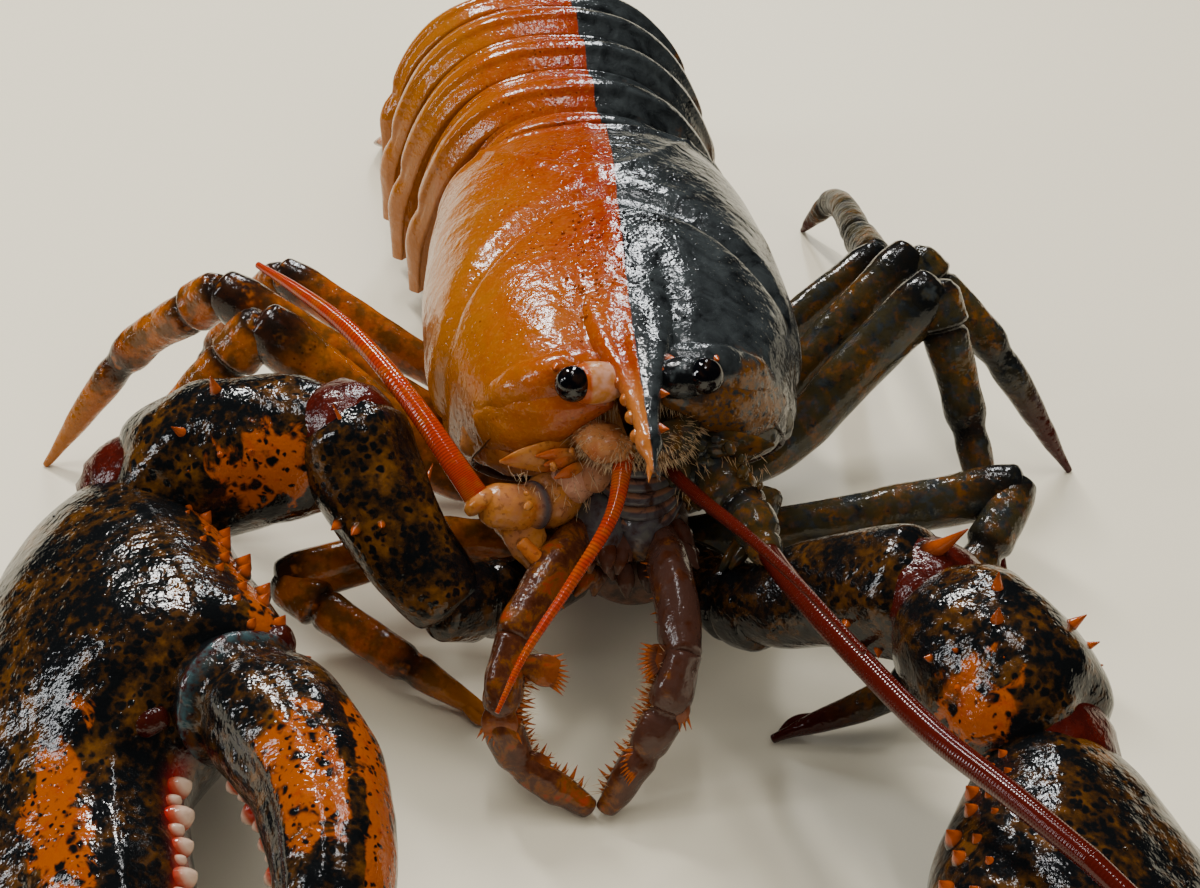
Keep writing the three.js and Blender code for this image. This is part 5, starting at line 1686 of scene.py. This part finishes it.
class LOBSTER_OT_stage(bpy.types.Operator):
    """Adds the camera, the soft lights and the pale floor"""
    bl_idname = "lobster.stage"
    bl_label = "Stage"

    def execute(self, context):
        scene = context.scene
        look = scene.lobster_stage
        lens = bpy.data.cameras.new("camera")
        lens.lens, lens.sensor_width = look.lens, SENSOR_WIDTH
        lens.clip_start, lens.clip_end = 0.01, 10
        camera = bpy.data.objects.new("camera", lens)
        camera.location = Vector((CAMERA_AT + SHIFT) * MM)
        camera.rotation_euler = (math.radians(90 - CAMERA_PITCH), 0, math.radians(CAMERA_TURN))
        scene.collection.objects.link(camera)
        scene.camera = camera
        floor_mesh = bpy.data.meshes.new("floor")
        corners = [(x * FLOOR_HALF, y * FLOOR_HALF, 0) for x, y in ((-1, -1), (1, -1), (1, 1), (-1, 1))]
        floor_mesh.from_pydata(corners, [], [(0, 1, 2, 3)])
        floor = bpy.data.objects.new("floor", floor_mesh)
        scene.collection.objects.link(floor)
        floor_mesh.materials.append(Finish("pale_floor").done(tuple(look.floor_colour), FLOOR_ROUGHNESS))
        for name, place, size, share, tint, shine in LIGHTS:
            lamp = bpy.data.lights.new(name, "AREA")
            lamp.shape = "RECTANGLE"
            lamp.size, lamp.size_y = size
            lamp.energy, lamp.color = look.key_power * share, tint
            light = bpy.data.objects.new(name, lamp)
            light.location = place
            light.rotation_euler = (-Vector(place)).to_track_quat("-Z", "Y").to_euler()
            light.visible_glossy = shine
            scene.collection.objects.link(light)
        world = bpy.data.worlds.new("daylight")
        world.use_nodes = True
        sky = world.node_tree.nodes["Background"]
        sky.inputs["Color"].default_value = SKY_COLOUR
        sky.inputs["Strength"].default_value = look.sky_strength
        world.cycles_visibility.glossy = False
        scene.world = world
        return {"FINISHED"}


def colour_property(label, about, value):
    return bpy.props.FloatVectorProperty(
        name=label, description=about, subtype="COLOR", size=3, min=0, max=1, default=value,
    )


class LobsterColours(bpy.types.PropertyGroup):
    orange: colour_property("Orange", "Main colour of the right half", (0.30, 0.058, 0.0008))
    red_orange: colour_property("Red orange", "Back of the right half", (0.24, 0.019, 0.0004))
    amber: colour_property("Amber", "Cheeks and sides of the right half", (0.30, 0.088, 0.0018))
    pale_orange: colour_property("Pale orange", "Light flecks in the orange", (0.40, 0.145, 0.028))
    dark_red: colour_property("Dark red", "Specks in the orange", (0.06, 0.005, 0.002))
    black: colour_property("Black", "Darkest shell", (0.004, 0.0045, 0.005))
    # Painted sheen: charcoal and the slate streaks are lighter and bluer than the shell's own black, for the sky's
    # reflection.
    charcoal: colour_property("Charcoal", "Main colour of the left half", (0.019, 0.022, 0.023))
    slate_sheen: colour_property("Slate", "Streaks in the black", (0.036, 0.042, 0.043))
    grey_brown: colour_property("Grey brown", "Palest streaks in the black", (0.075, 0.065, 0.05))
    ochre: colour_property("Ochre", "Blotches in dark shell", (0.12, 0.043, 0.005))
    olive: colour_property("Olive", "Shading of the legs", (0.035, 0.026, 0.008))
    claw_brown: colour_property("Claw brown", "Mottling of the claws", (0.036, 0.015, 0.004))
    spine: colour_property("Spine", "Tips of spines and knobs", (0.36, 0.06, 0.003))
    tooth: colour_property("Tooth", "Teeth of the claws", (0.58, 0.40, 0.29))
    gum_pink: colour_property("Gum pink", "Lower part of the teeth", (0.36, 0.07, 0.03))
    gum: colour_property("Gum", "Flesh at the roots of the teeth", (0.32, 0.012, 0.008))
    flesh: colour_property("Flesh", "Pinkish underside", (0.33, 0.12, 0.045))
    feeler_red: colour_property("Feeler red", "Right feelers", (0.36, 0.026, 0.003))
    feeler_dark: colour_property("Dark feeler", "Left feelers", (0.06, 0.004, 0.002))
    joint_red: colour_property("Joint red", "Skin in the joints", (0.035, 0.004, 0.0025))
    blue_grey: colour_property("Blue grey", "Skin at the claw hinge", (0.045, 0.085, 0.09))
    plate_grey: colour_property("Plate grey", "Pale parts of the mouth plates", (0.085, 0.08, 0.065))
    # Painted shade: darker than the underside's own colour, for the shade under the body.
    belly: colour_property("Belly", "Shell and flesh of the underside", (0.15, 0.06, 0.03))
    grey_purple: colour_property("Grey purple", "Mouth plates and feeler joints", (0.06, 0.05, 0.052))
    jaw_dark: colour_property("Jaw dark", "Shadowed mouth parts", (0.035, 0.014, 0.009))
    eye_cup: colour_property("Eye cup", "Pale stalk of the right eye", (0.50, 0.25, 0.16))
    eye_black: colour_property("Eye black", "The eyes", (0.002, 0.002, 0.003))
    eye_brown: colour_property("Eye brown", "Sheen of the eyes", (0.012, 0.006, 0.004))
    hair_root: colour_property("Hair root", "Roots of the hairs", (0.28, 0.13, 0.05))
    hair_tip: colour_property("Hair tip", "Tips of the hairs", (0.66, 0.46, 0.24))


def share_property(label, about, value=1.0):
    return bpy.props.FloatProperty(name=label, description=about, subtype="FACTOR", default=value, min=0, soft_max=2)


class LobsterSizes(bpy.types.PropertyGroup):
    knobs: share_property("Knobs", "Thickness of the spines and knobs on the claws")
    teeth: share_property("Teeth", "Size of the claws' teeth")
    hair_length: share_property("Hair length", "Length of the hairs of face and mouth")
    hair_thickness: share_property("Hair thickness", "Thickness of the hairs of face and mouth")
    relief: share_property("Shell relief", "Depth of the fine pits and waves of the shell")
    feeler_rings: bpy.props.FloatProperty(
        name="Feeler rings", description="Length of one ring of a feeler in millimetres", default=0.6, min=0.2,
    )


class LobsterStage(bpy.types.PropertyGroup):
    lens: bpy.props.FloatProperty(
        name="Lens", description="Focal length of the camera", unit="CAMERA", default=60, min=10,
    )
    key_power: bpy.props.FloatProperty(
        name="Key power", description="Power of the main light", unit="POWER", default=10, min=0,
    )
    sky_strength: bpy.props.FloatProperty(
        name="Sky", description="Strength of the daylight all round", default=0.3, min=0,
    )
    floor_colour: colour_property("Floor", "Colour of the floor", (0.80, 0.72, 0.54))


PIECES = (
    LOBSTER_OT_carapace, LOBSTER_OT_tail, LOBSTER_OT_eyes, LOBSTER_OT_feelers, LOBSTER_OT_mouth, LOBSTER_OT_legs,
    LOBSTER_OT_claws, LOBSTER_OT_face, LOBSTER_OT_stage,
)


class LOBSTER_PT_panel(bpy.types.Panel):
    """Lists the lobster's pieces and colours"""
    bl_idname = "LOBSTER_PT_panel"
    bl_label = "Lobster"
    bl_space_type = "VIEW_3D"
    bl_region_type = "UI"
    bl_category = "Lobster"

    def draw(self, context):
        for maker in PIECES:
            self.layout.operator(maker.bl_idname)
        scene = context.scene
        for group in (scene.lobster_sizes, scene.lobster_colours, scene.lobster_stage):
            for name in group.__annotations__:
                self.layout.prop(group, name)


CLASSES = (LobsterSizes, LobsterColours, LobsterStage, *PIECES, LOBSTER_PT_panel)


def register():
    for made in CLASSES:
        bpy.utils.register_class(made)
    bpy.types.Scene.lobster_sizes = bpy.props.PointerProperty(type=LobsterSizes)
    bpy.types.Scene.lobster_colours = bpy.props.PointerProperty(type=LobsterColours)
    bpy.types.Scene.lobster_stage = bpy.props.PointerProperty(type=LobsterStage)


def unregister():
    del bpy.types.Scene.lobster_stage
    del bpy.types.Scene.lobster_colours
    del bpy.types.Scene.lobster_sizes
    for made in reversed(CLASSES):
        bpy.utils.unregister_class(made)


def main():
    register()
    for maker in PIECES:
        group, name = maker.bl_idname.split(".")
        getattr(getattr(bpy.ops, group), name)()


if __name__ == "__main__":
    main()
